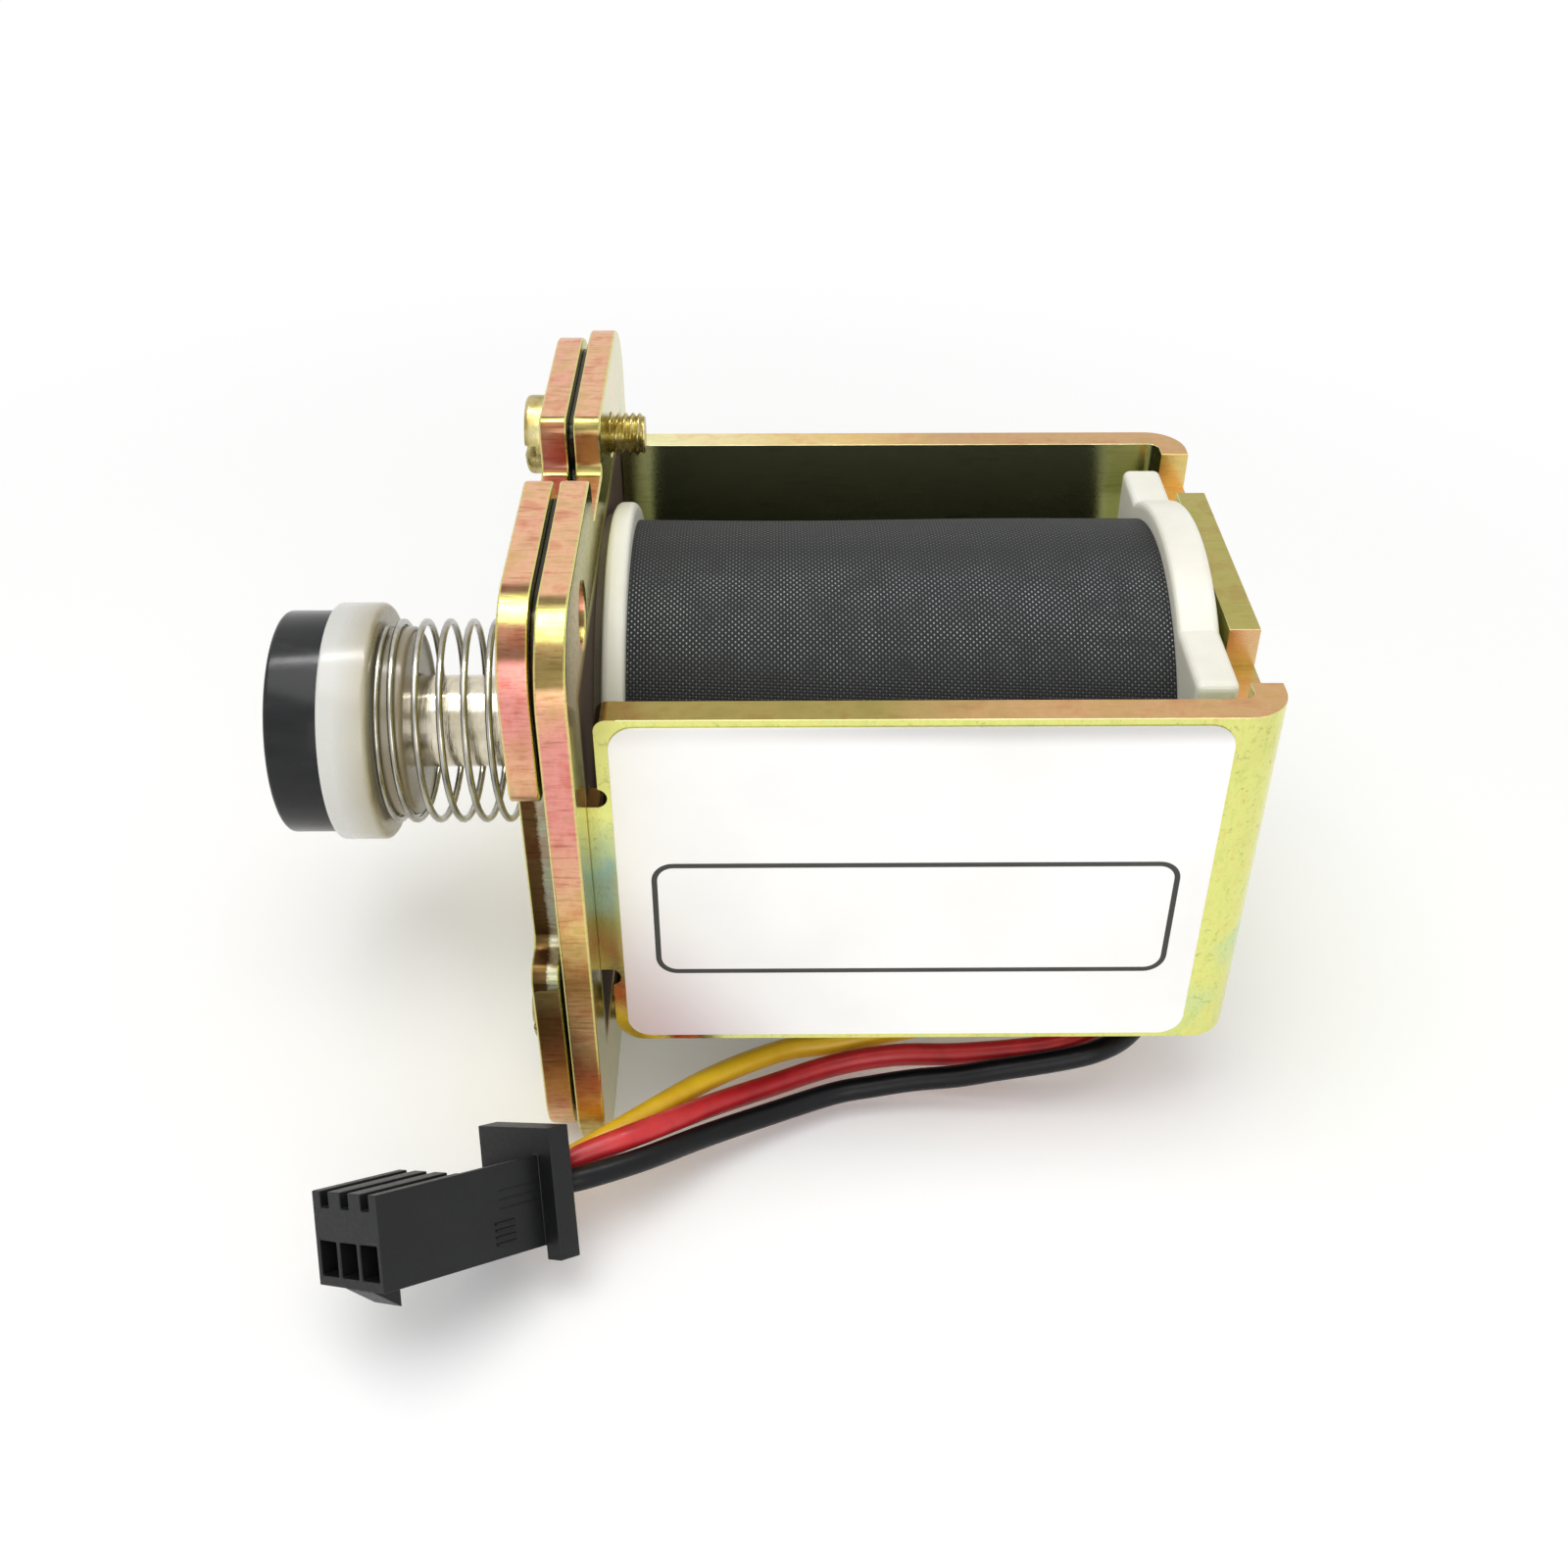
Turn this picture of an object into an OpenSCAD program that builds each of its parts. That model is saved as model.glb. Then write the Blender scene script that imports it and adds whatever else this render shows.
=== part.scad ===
// Gas safety solenoid valve: a spring-closed sealing plunger, drawn in by a two-winding coil.
// A U-shaped yoke holds the coil on a pair of flange plates, and three leads run to a plug.
// Millimetres. X runs along the plunger, from the sealing disc to the far end of the coil, and Z is up.
// The origin is on the plunger's axis, on the outer face of the outer flange plate.

/* [Flange plates] */
// Width of the inner flange plate, across Y
plate_w = 46.6; // [45:0.2:56]
// How much further in each side edge of the outer flange plate lies
outer_inset = 1.3; // [0:0.1:1.6]
// Height of both flange plates, along Z
plate_h = 43; // [42:0.2:52]
// Thickness of each flange plate
plate_t = 1.85; // [1.5:0.05:3]
// Radius of the corners of the flange plates
plate_corner_r = 5.5; // [3:0.1:7]
// Thickness of the gasket between the plates
gasket_t = 0.4; // [0.2:0.05:0.6]
// Distance from the edge of the plates in to the edge of the gasket
gasket_inset = 0.8; // [0.4:0.1:1.5]
// Width of the notch in the top and bottom edges
notch_w = 7.4; // [6:0.1:12]
// Depth of that notch
notch_depth = 3.6; // [2.6:0.1:4]
// Height of the waist in the side edges of the outer plate
waist_h = 13.4; // [10:0.1:16]
// How far the waist in the front edge lies above the plunger's axis, and the one in the back edge below it
waist_z = 2.6; // [0:0.1:4]
// Depth of that waist
waist_depth = 2.9; // [2:0.1:3.2]
// Radius of the outward corners of notch and waist
mouth_r = 1; // [0.8:0.1:1.6]
// Radius of the inward corners of notch and waist
root_r = 0.8; // [0.5:0.1:1]

/* [Plate screws and mounting holes] */
// Thread diameter of the screws that hold the plates together
screw_d = 3; // [2.5:0.1:3.5]
// Diameter of the screw heads
screw_head_d = 5.5; // [5:0.1:6.5]
// Height of the screw heads
screw_head_h = 1.8; // [1.4:0.1:3]
// Width of the slot in the screw heads
screw_slot_w = 0.8; // [0.5:0.1:1.2]
// Depth of the slot in the screw heads
screw_slot_depth = 0.8; // [0.5:0.1:1.2]
// Length of screw that stands out past the inner plate
screw_tail = 2.4; // [1:0.1:4]
// Distance of the screws from the plunger's axis, along Y
screw_y = 11.2; // [9.5:0.1:12]
// Gap around the screws in the outer plate and the gasket
screw_gap = 0.15; // [0.1:0.05:0.3]
// Diameter of the mounting holes
mount_hole_d = 4.2; // [3.4:0.1:4.6]
// Distance of the mounting holes from the plunger's axis, along Y
mount_y = 13; // [11:0.1:14]
// Distance of screws and mounting holes from the top and bottom edges of the plates
hole_edge = 4.5; // [4:0.1:5]

/* [Yoke] */
// Outside length of the yoke, along X
yoke_l = 42.4; // [40:0.2:50]
// Outside width of the yoke, across Y
yoke_w = 37.6; // [37:0.2:40]
// Height of the yoke strip, along Z
yoke_h = 26.6; // [24:0.2:28]
// Thickness of the yoke strip
yoke_t = 2; // [1.5:0.1:2.4]
// Outside radius of the two bends
bend_r = 2.8; // [2.5:0.1:4]
// Radius of the upper free corner of each side
upper_corner_r = 0.8; // [0.4:0.1:3]
// Radius of the lower free corner of each side
lower_corner_r = 2; // [0.4:0.1:3]
// Height of the staking tab at the end of each side
tab_h = 13.6; // [8:0.2:16]
// Distance of the front side's shoulder above the tab from the inner plate
upper_gap = 0.75; // [0.1:0.05:1.5]
// Distance of the back side's shoulder above the tab from the inner plate
back_gap = 0.1; // [0.1:0.05:1.5]
// Distance of the shoulder below the tab from the inner plate
lower_gap = 0.75; // [0.1:0.05:1.5]
// Height of the relief slots beside the tab
tab_slot_h = 1.4; // [0.6:0.1:1.6]
// Distance from the inner plate to the end of the relief slots
tab_slot_l = 1.3; // [0.8:0.1:2]
// Gap around pieces that are staked or screwed into a plate
stake_fit = 0.05; // [0.03:0.01:0.1]
// Width of the tongue in the middle of the end wall
tongue_w = 18.2; // [14:0.2:22]
// Width of the relief notch on each side of the tongue
relief_w = 6; // [4:0.1:6.6]
// Depth of the relief notches
relief_depth = 2.8; // [1.5:0.1:4]

/* [Label] */
// Thickness of the label
label_t = 0.15; // [0.1:0.05:0.3]
// Distance of the label from the free end of the yoke's side
label_left = 0.8; // [0.5:0.1:3]
// Distance of the label from the bend
label_right = 0.6; // [0.2:0.1:2]
// Distance of the label from the top and bottom edges
label_edge = 0.5; // [0.3:0.1:2]
// Radius of the label's corners
label_r = 1.6; // [1:0.1:4]

/* [Coil] */
// Diameter of the round bobbin flanges
flange_d = 31; // [30:0.1:33]
// Thickness of the bobbin flange at the plates
near_flange_t = 1.5; // [1.5:0.1:2.4]
// Thickness of the bobbin flange at the end wall
far_flange_t = 2.7; // [2.5:0.1:5]
// Half height of the flat shoulders of the far flange
shoulder_z = 12.9; // [12:0.1:13.2]
// Gap between the far flange's front shoulders, which take the leads, and the yoke's side
front_shoulder_gap = 2; // [0.5:0.1:2.2]
// Gap between the far flange's back shoulders and the yoke's side
back_shoulder_gap = 3.2; // [0.5:0.1:5]
// Gap between the far flange and the end wall
end_gap = 0.4; // [0.3:0.1:0.9]
// Wall of the bobbin's tube
bobbin_wall = 1.2; // [0.8:0.1:1.4]
// Thickness of the fibre washer between bobbin and inner plate
washer_t = 0.5; // [0.2:0.05:0.6]
// Distance from the edge of the near flange in to the edge of that washer
washer_inset = 0.8; // [0.4:0.1:1.5]
// Outside diameter of the taped coil
coil_d = 28.8; // [28:0.1:29.6]
// Thickness of the cloth tape around the coil
tape_t = 0.6; // [0.3:0.1:1]
// Radial depth of the inner winding, which pulls the plunger in
pull_depth = 3; // [2:0.1:4]
// Thickness of the insulating film between the two windings
film_t = 0.15; // [0.1:0.05:0.3]
// Gap around each winding layer
layer_gap = 0.05; // [0.03:0.01:0.1]

/* [Sleeve and core] */
// Bore of the guide sleeve
sleeve_bore = 10.4; // [9.6:0.1:10.6]
// Wall of the guide sleeve
sleeve_wall = 0.4; // [0.3:0.05:0.5]
// Thickness of the sleeve's flange
sleeve_flange_t = 0.5; // [0.3:0.1:0.8]
// Gap around the sleeve in the bores that hold it
sleeve_fit = 0.1; // [0.05:0.01:0.15]
// Thickness of the sealing ring around the sleeve
ring_t = 1.3; // [1:0.05:1.3]
// Length of the fixed core inside the coil
core_l = 18; // [12:0.5:22]
// Diameter of the core's rivet through the end wall
rivet_d = 6; // [4:0.1:7]
// Diameter of the rivet's head outside the end wall
rivet_head_d = 8.4; // [7.4:0.1:12]
// Height of the rivet's head
rivet_head_h = 0.9; // [0.5:0.1:1.5]
// Thickness of the brass shim on the core's face
shim_t = 0.3; // [0.2:0.05:0.5]

/* [Plunger and valve] */
// Stroke of the plunger
stroke = 4.5; // [3:0.1:5]
// Gap left between plunger and shim at the end of the stroke
stop_gap = 0.2; // [0.1:0.05:0.5]
// Running gap around the plunger in the sleeve
plunger_gap = 0.2; // [0.1:0.05:0.3]
// Diameter of the plunger's neck inside the spring
neck_d = 6.6; // [5:0.1:8]
// Distance from the outer plate to the back of the sealing cap, valve closed
cap_reach = 11.9; // [9:0.1:14]
// Diameter of the sealing cap
cap_d = 17; // [15:0.1:18]
// Thickness of the sealing cap
cap_t = 3.4; // [3:0.1:5]
// Chamfer around the back of the sealing cap
cap_chamfer = 0.8; // [0.3:0.1:1.2]
// Length of the cap's hub inside the spring
hub_l = 2.1; // [1.5:0.1:4]
// Diameter of the rubber sealing disc
disc_d = 15.9; // [14:0.1:16.4]
// Thickness of the rubber sealing disc
disc_t = 3.7; // [2.5:0.1:5]
// Diameter of the sealing disc's stem in the cap
stem_d = 8; // [5:0.1:9]
// Length of that stem
stem_l = 1.2; // [0.6:0.1:1.4]
// Gap around pieces that are pushed together
push_fit = 0.05; // [0.03:0.01:0.1]

/* [Return spring] */
// Outside diameter of the spring
spring_d = 15; // [13:0.1:15.4]
// Diameter of the spring wire
spring_wire = 0.5; // [0.4:0.05:0.6]
// Open turns of the spring
open_turns = 7.25; // [6:0.25:8]
// Closed turns at the cap
closed_turns = 0.75; // [0.5:0.25:2]
// Closed turns at the seat
seat_turns = 1; // [0.5:0.25:2]
// Turn of the wire's end at the cap, from the top, towards the back
wire_start = 10; // [0:5:360]
// Gap around the spring's hub and around its seat in the plate
spring_gap = 0.2; // [0.1:0.05:0.3]
// How far the spring's seat stands out around the spring
seat_margin = 0.5; // [0.2:0.1:1]
// Distance between closed turns, as a multiple of the wire
closed_ratio = 1.06; // [1.02:0.01:1.2]

/* [Leads] */
// Diameter of each lead
lead_d = 1.6; // [1.2:0.1:1.7]
// Gap around each lead in the hole that it enters
lead_gap = 0.1; // [0.05:0.01:0.15]
// Depth of the lead holes in the far flange
lead_hole_depth = 2.5; // [1.5:0.1:4]
// Distance between the leads at the far flange
lead_pitch = 2; // [1.9:0.1:2.4]
// Distance of the middle lead from the plunger's axis, along Y
lead_y = 11.2; // [11:0.1:11.4]
// Diameter of the terminal pins
pin_d = 0.9; // [0.6:0.1:1.2]
// Length of the terminal pins
pin_l = 4; // [2:0.1:6]

/* [Plug] */
// Width of the plug's body
plug_w = 6.65; // [6.4:0.05:9]
// Height of the plug's body
plug_h = 5.7; // [5.4:0.1:7]
// Length of the plug's body, from the mating face to the collar
plug_l = 12.2; // [11:0.1:16]
// Distance between the contacts
plug_pitch = 2.1; // [2:0.05:2.5]
// Width of the contact sockets
socket_w = 1.75; // [1.5:0.05:1.8]
// Height of the contact sockets
socket_h = 2.1; // [1.6:0.05:2.4]
// Wall under the sockets
socket_floor = 0.6; // [0.4:0.05:1]
// Depth of the sockets
socket_depth = 8; // [5:0.1:9]
// Width of the keying grooves along the top
groove_w = 0.85; // [0.5:0.05:1.2]
// Depth of the keying grooves
groove_depth = 1; // [0.5:0.1:1.2]
// Length of the grooved front section
grooved_l = 6.4; // [4:0.1:7]
// Depth of the recess behind the grooves
recess_depth = 1.2; // [0.5:0.1:1.4]
// Wall on the closed side of that recess
recess_wall = 0.5; // [0.3:0.1:1]
// Thickness of the collar
collar_t = 1.6; // [1:0.1:2.5]
// How far the collar stands out at the top
collar_top = 1.7; // [0.5:0.1:2]
// Distance of the collar's top from the open side of the recess
collar_inset = 0.8; // [0:0.1:1.5]
// How far the collar's wing stands out at the closed side
wing_w = 1.3; // [0.5:0.1:2]
// How far the wing reaches below the body
wing_drop = 0.9; // [0.3:0.1:1.2]
// Width of the locking ramp under the front
ramp_w = 2.8; // [1.5:0.1:4]
// Length of the locking ramp
ramp_l = 1.9; // [1:0.1:3]
// Height of the locking ramp
ramp_h = 1.3; // [0.5:0.1:1.6]
// How far the locking ramp lies towards the closed side
ramp_shift = 0.8; // [0:0.1:1]
// Depth of the lead holes in the plug
plug_hole_depth = 2.3; // [1.5:0.1:3.5]
// Height of the lead holes above the underside of the plug
lead_hole_z = 3.4; // [3:0.1:4]
// Outside width of the metal contacts
contact_w = 1.4; // [1:0.05:1.6]
// Length of the metal contacts
contact_l = 6; // [4:0.1:7]
// Wall of the metal contacts
contact_wall = 0.35; // [0.2:0.05:0.4]

/* [Hidden] */
$fn = 64;
// Overrun of a cut past the face that it opens
cut = 1;

// Places along X
gasket_x = plate_t;
inner_x = gasket_x + gasket_t;
coil_x = inner_x + plate_t;
lower_x = coil_x + lower_gap;
yoke_end = coil_x + yoke_l;
end_wall_x = yoke_end - yoke_t;
bobbin_x = coil_x + washer_t;
bobbin_end = end_wall_x - end_gap;
wind_x = bobbin_x + near_flange_t;
wind_end = bobbin_end - far_flange_t;
far_flange_mid = bobbin_end - far_flange_t / 2;
core_x = end_wall_x - core_l;
shim_x = core_x - shim_t;
plunger_end = shim_x - stop_gap - stroke;
plunger_shoulder = plate_t / 2;
spring_seat = inner_x - sleeve_flange_t;
cap_back = -cap_reach;
cap_front = cap_back - cap_t;
disc_front = cap_front - disc_t;
neck_tip = cap_back - cap_t / 2;

// Diameters about the plunger's axis
sleeve_d = sleeve_bore + 2 * sleeve_wall;
tube_bore = sleeve_d + 2 * sleeve_fit;
tube_d = tube_bore + 2 * bobbin_wall;
plunger_d = sleeve_bore - 2 * plunger_gap;
sleeve_flange_d = spring_d + 2 * seat_margin;
port_d = sleeve_flange_d + 2 * spring_gap;
ring_pocket_d = sleeve_d + 2 * ring_t + 4 * sleeve_fit;
ring_pocket_depth = ring_t + sleeve_fit - washer_t;
pull_d = tube_d + 2 * pull_depth;
film_d = pull_d + 2 * film_t;
hold_d = coil_d - 2 * tape_t;
hub_d = spring_d - 2 * spring_wire - 2 * spring_gap;

// Places across the plates
outer_w = plate_w - 2 * outer_inset;
inner_w = yoke_w - 2 * yoke_t;
hole_z = plate_h / 2 - hole_edge;
lead_floor = -shoulder_z + lead_hole_depth;
lead_ys = [for (i = [-1:1]) -lead_y - i * lead_pitch];
plug_ys = [for (i = [-1:1]) -i * plug_pitch];

// The plug lies in front of the plates, with its mating face turned up and to the front
plug_at = [-9.6, -38.6, -13.9];
plug_turn = [-33, 25, 42];

// Routes of the leads, from inside the plug to the terminal pins
yellow_route = [[-3.5, -28.3, -17.3], [-2.2, -27.1, -18.2], [0.3, -25.8, -18.3], [3, -24.9, -17.4],
    [5.5, -23.5, -16.8], [8.1, -20.9, -17.3], [10.8, -18.2, -18], [13.8, -15.8, -18.7],
    [16.7, -14.2, -19.1], [19.7, -13.7, -19.1], [23.8, -13, -18.7], [27.9, -12.5, -18.1],
    [31.8, -12, -17.4], [35.6, -11.2, -16.8], [39.2, -10.3, -16.2], [41.9, -9.4, -15],
    [42.8, -9.2, -13], [42.8, -9.2, -10.4]];
red_route = [[-2, -29.3, -16.3], [-0.7, -28, -17.2], [1.2, -27.2, -16.9], [3.1, -26.4, -16.2],
    [6.9, -24.6, -16], [10.9, -20.7, -18], [15.2, -17.7, -19.2], [19.7, -15.7, -19.3],
    [24, -15.2, -18.8], [28.4, -15.7, -18.2], [32.5, -16.1, -17.4], [35.3, -16.2, -16.8],
    [37.9, -15.3, -16.4], [40.4, -13.2, -16.1], [42.2, -11.6, -14.9], [42.8, -11.2, -13],
    [42.8, -11.2, -10.4]];
black_route = [[-0.5, -30.2, -15.3], [0.9, -29, -16.1], [3.2, -28.4, -16.1], [6.9, -26.3, -16.8],
    [10.9, -22.9, -18.4], [15.2, -20.3, -19.2], [19.6, -18.3, -19.4], [22.4, -17.9, -19.1],
    [25.3, -17.7, -18.7], [28.4, -17.8, -18.2], [31, -17.9, -17.5], [35.1, -17.9, -16.6],
    [37.9, -17.6, -16], [40.2, -16.1, -16], [42, -14.3, -15], [42.8, -13.2, -13],
    [42.8, -13.2, -10.4]];

plated_steel = "darkkhaki";
nylon = "ivory";
copper = "chocolate";

// A round bar along X
module rod(x0, x1, d) {
    translate([x0, 0, 0]) rotate([0, 90, 0]) cylinder(h = x1 - x0, d = d);
}

// A round tube along X
module tube(x0, x1, outer_d, bore_d) {
    difference() {
        rod(x0, x1, outer_d);
        rod(x0 - cut, x1 + cut, bore_d);
    }
}

// A profile of (X, radius) points turned about the plunger's axis
module turned(points) {
    rotate([0, 90, 0]) rotate_extrude() polygon([for (p = points) [p[1], p[0]]]);
}

// A flat sheet across X, from an outline drawn in Y and Z
module sheet(x, t) {
    translate([x, 0, 0]) rotate([90, 0, 90]) linear_extrude(t) children();
}

// Both places that lie opposite each other about the plunger's axis
module both_ends() {
    for (turn = [0, 180]) rotate(turn) children();
}

module round_rect(w, h, r) {
    square([w - 2 * r, h], center = true);
    square([w, h - 2 * r], center = true);
    for (y = [-1, 1], z = [-1, 1]) translate([y * (w / 2 - r), z * (h / 2 - r)]) circle(r);
}

// A bite out of an edge that lies on the line y = 0, with rounded corners
module bite(w, depth) {
    translate([-w / 2, root_r - depth]) square([w, depth - root_r + cut]);
    translate([root_r - w / 2, -depth]) square([w - 2 * root_r, depth]);
    for (side = [-1, 1]) {
        translate([side * (w / 2 - root_r), root_r - depth]) circle(root_r);
        difference() {
            translate([side * (w + mouth_r) / 2, (cut - mouth_r) / 2])
                square([mouth_r, mouth_r + cut], center = true);
            translate([side * (w / 2 + mouth_r), -mouth_r]) circle(mouth_r);
        }
    }
}

module screw_places() {
    both_ends() translate([screw_y, hole_z]) children();
}

module mount_places() {
    both_ends() translate([-mount_y, hole_z]) children();
}

// Outline of a plate that is w wide, less an even margin
module flange_outline(w, inset) {
    difference() {
        round_rect(w - 2 * inset, plate_h - 2 * inset, plate_corner_r - inset);
        both_ends() translate([0, plate_h / 2 - inset]) bite(notch_w + 2 * inset, notch_depth);
        mount_places() circle(d = mount_hole_d);
    }
}

// Outline of the outer plate and of the gasket behind it, with a waist in both side edges
module waisted_outline(inset) {
    difference() {
        flange_outline(outer_w, inset);
        both_ends() translate([inset - outer_w / 2, waist_z]) rotate(90)
            bite(waist_h + 2 * inset, waist_depth);
        screw_places() circle(d = screw_d + 2 * screw_gap);
        circle(d = port_d);
    }
}

module outer_plate() {
    color(plated_steel) sheet(0, plate_t) waisted_outline(0);
}

module plate_gasket() {
    color("black") sheet(gasket_x, gasket_t) waisted_outline(gasket_inset);
}

module inner_plate() {
    color(plated_steel) sheet(inner_x, plate_t) difference() {
        flange_outline(plate_w, 0);
        screw_places() circle(d = screw_d + 2 * stake_fit);
        circle(d = tube_bore);
        for (side = [-1, 1])
            translate([side * (yoke_w - yoke_t) / 2, 0])
                square([yoke_t, tab_h] + 2 * stake_fit * [1, 1], center = true);
    }
}

// Cheese-head screws, put in from the outer face
module plate_screws() {
    color("goldenrod") rotate([90, 0, 90]) screw_places() difference() {
        union() {
            translate([0, 0, -screw_head_h]) cylinder(h = screw_head_h, d = screw_head_d);
            cylinder(h = coil_x + screw_tail, d = screw_d);
        }
        translate([0, 0, -screw_head_h])
            cube([screw_head_d + cut, screw_slot_w, 2 * screw_slot_depth], center = true);
    }
}

// Plan of the bent strip, with its two bends at the end wall
module bent_plan(w, end, r) {
    translate([0, -w / 2]) square([end - r, w]);
    translate([end - 2 * r, r - w / 2]) square([2 * r, w - 2 * r]);
    for (side = [-1, 1]) translate([end - r, side * (w / 2 - r)]) circle(r);
}

// Half of the strip's side view, with the rounded free corner of its shoulder
module side_half(x, r) {
    translate([x + r, 0]) square([yoke_l, yoke_h / 2]);
    translate([x, 0]) square([yoke_l, yoke_h / 2 - r]);
    translate([x + r, yoke_h / 2 - r]) circle(r);
}

// Side view of the strip, with the staking tab at its free end and a relief slot on each side of the tab
module side_view(gap) {
    difference() {
        union() {
            side_half(coil_x + gap, upper_corner_r);
            mirror([0, 1]) side_half(lower_x, lower_corner_r);
        }
        for (z = [-1, 1]) translate([coil_x + tab_slot_l - tab_slot_h / 2, z * (tab_h + tab_slot_h) / 2]) {
            circle(d = tab_slot_h);
            translate([-tab_slot_l, -tab_slot_h / 2]) square([tab_slot_l, tab_slot_h]);
        }
    }
    translate([inner_x, -tab_h / 2]) square([yoke_l, tab_h]);
}

module yoke() {
    color(plated_steel) difference() {
        intersection() {
            linear_extrude(yoke_h + 2 * cut, center = true) difference() {
                bent_plan(yoke_w, yoke_end, bend_r);
                bent_plan(inner_w, end_wall_x, bend_r - yoke_t);
            }
            for (side = [-1, 1]) translate([0, side * yoke_w / 4, 0]) rotate([90, 0, 0])
                linear_extrude(yoke_w / 2 + 2 * cut, center = true) side_view(side < 0 ? upper_gap : back_gap);
        }
        for (side = [-1, 1], z = [-1, 1])
            translate([end_wall_x + yoke_t / 2, side * (tongue_w + relief_w) / 2, z * yoke_h / 2])
                cube([yoke_t + 2 * cut, relief_w, 2 * relief_depth], center = true);
        rod(end_wall_x - cut, yoke_end + cut, rivet_d + 2 * stake_fit);
    }
}

module label() {
    label_x = lower_x + label_left;
    label_w = yoke_end - bend_r - label_right - label_x;
    color("white")
        translate([label_x + label_w / 2, -yoke_w / 2, 0]) rotate([90, 0, 0])
            linear_extrude(label_t) round_rect(label_w, yoke_h - 2 * label_edge, label_r);
}

// Places of the three leads where they enter the far flange
module lead_places() {
    for (y = lead_ys) translate([far_flange_mid, y, 0]) children();
}

module bobbin() {
    color(nylon) difference() {
        union() {
            rod(bobbin_x, bobbin_end, tube_d);
            rod(bobbin_x, wind_x, flange_d);
            sheet(wind_end, far_flange_t) {
                circle(d = flange_d);
                translate([front_shoulder_gap - inner_w / 2, -shoulder_z])
                    square([inner_w - front_shoulder_gap - back_shoulder_gap, 2 * shoulder_z]);
            }
        }
        rod(bobbin_x - cut, bobbin_end + cut, tube_bore);
        rod(bobbin_x - cut, bobbin_x + ring_pocket_depth, ring_pocket_d);
        lead_places() {
            translate([0, 0, -shoulder_z - cut])
                cylinder(h = lead_hole_depth + cut, d = lead_d + 2 * lead_gap);
            translate([0, 0, lead_floor - cut]) cylinder(h = pin_l + cut, d = pin_d + 2 * push_fit);
        }
    }
}

module coil_washer() {
    color("darkolivegreen") tube(coil_x, bobbin_x, flange_d - 2 * washer_inset, ring_pocket_d);
}

// One layer around the bobbin's tube, between its flanges
module coil_layer(outer_d, inner_d) {
    tube(wind_x + layer_gap, wind_end - layer_gap, outer_d, inner_d + 2 * layer_gap);
}

module pull_in_winding() {
    color(copper) coil_layer(pull_d, tube_d);
}

module winding_film() {
    color("gold") coil_layer(film_d, pull_d);
}

module hold_winding() {
    color(copper) coil_layer(hold_d, film_d);
}

module coil_tape() {
    color("dimgray") coil_layer(coil_d, hold_d);
}

module guide_sleeve() {
    color("gold") difference() {
        union() {
            rod(spring_seat, inner_x, sleeve_flange_d);
            rod(spring_seat, bobbin_end, sleeve_d);
        }
        rod(spring_seat - cut, bobbin_end + cut, sleeve_bore);
    }
}

// Rubber ring that seals the sleeve, between the inner plate and the bobbin
module sleeve_ring() {
    color("black") translate([coil_x + ring_t / 2 + push_fit, 0, 0]) rotate([0, 90, 0])
        rotate_extrude() translate([(sleeve_d + ring_t) / 2 + push_fit, 0]) circle(d = ring_t);
}

module fixed_core() {
    color("silver") {
        rod(core_x, end_wall_x, sleeve_bore - 2 * push_fit);
        rod(end_wall_x, yoke_end + rivet_head_h, rivet_d);
        rod(yoke_end, yoke_end + rivet_head_h, rivet_head_d);
    }
}

module core_shim() {
    color("gold") rod(shim_x, core_x, sleeve_bore - 2 * push_fit);
}

module plunger() {
    color("gainsboro") {
        rod(plunger_shoulder, plunger_end, plunger_d);
        rod(neck_tip, plunger_shoulder, neck_d);
    }
}

// Points of a round ring of the wire, across the direction that the wire runs in
function wire_ring(centre, along, r, sides) =
    let (level = norm([along[0], along[1]]) > 0.01 ? [-along[1], along[0], 0] : [1, 0, 0],
         u = level / norm(level),
         v = cross(along, u) / norm(along))
    [for (i = [0:sides - 1]) centre + r * (cos(360 * i / sides) * u + sin(360 * i / sides) * v)];

// Direction of a route at one of its points, from the points beside it
function route_way(route, i) = route[min(i + 1, len(route) - 1)] - route[max(i - 1, 0)];

// A closed tube along a route
module swept_wire(route, d, sides) {
    n = len(route);
    rings = [for (i = [0:n - 1]) wire_ring(route[i], route_way(route, i), d / 2, sides)];
    points = [for (ring = rings) each ring];
    walls = [for (i = [0:n - 2], j = [0:sides - 1])
        let (k = (j + 1) % sides, a = i * sides + j, b = i * sides + k, c = b + sides, d = a + sides)
        each [[a, d, c], [a, c, b]]];
    start_cap = [for (j = [0:sides - 1]) j];
    end_cap = [for (j = [sides - 1:-1:0]) (n - 1) * sides + j];
    polyhedron(points, concat(walls, [start_cap, end_cap]));
}

// The spring: closed turns at the cap, open turns, and closed turns at the seat
module return_spring() {
    ring_steps = 16;
    closed_pitch = spring_wire * closed_ratio;
    turns = closed_turns + open_turns + seat_turns;
    first_x = cap_back + spring_wire / 2 + push_fit;
    last_x = spring_seat - spring_wire / 2 - push_fit;
    open_pitch = (last_x - first_x - (closed_turns + seat_turns) * closed_pitch) / open_turns;
    coil_r = (spring_d - spring_wire) / 2;
    function turn_x(t) = first_x + closed_pitch * min(t, closed_turns)
        + open_pitch * max(0, min(t - closed_turns, open_turns))
        + closed_pitch * max(0, t - closed_turns - open_turns);
    route = [for (i = [0:turns * ring_steps])
        let (t = i / ring_steps, angle = 360 * t - wire_start)
        [turn_x(t), -coil_r * sin(angle), coil_r * cos(angle)]];
    color("lightsteelblue") swept_wire(route, spring_wire, 6);
}

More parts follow.
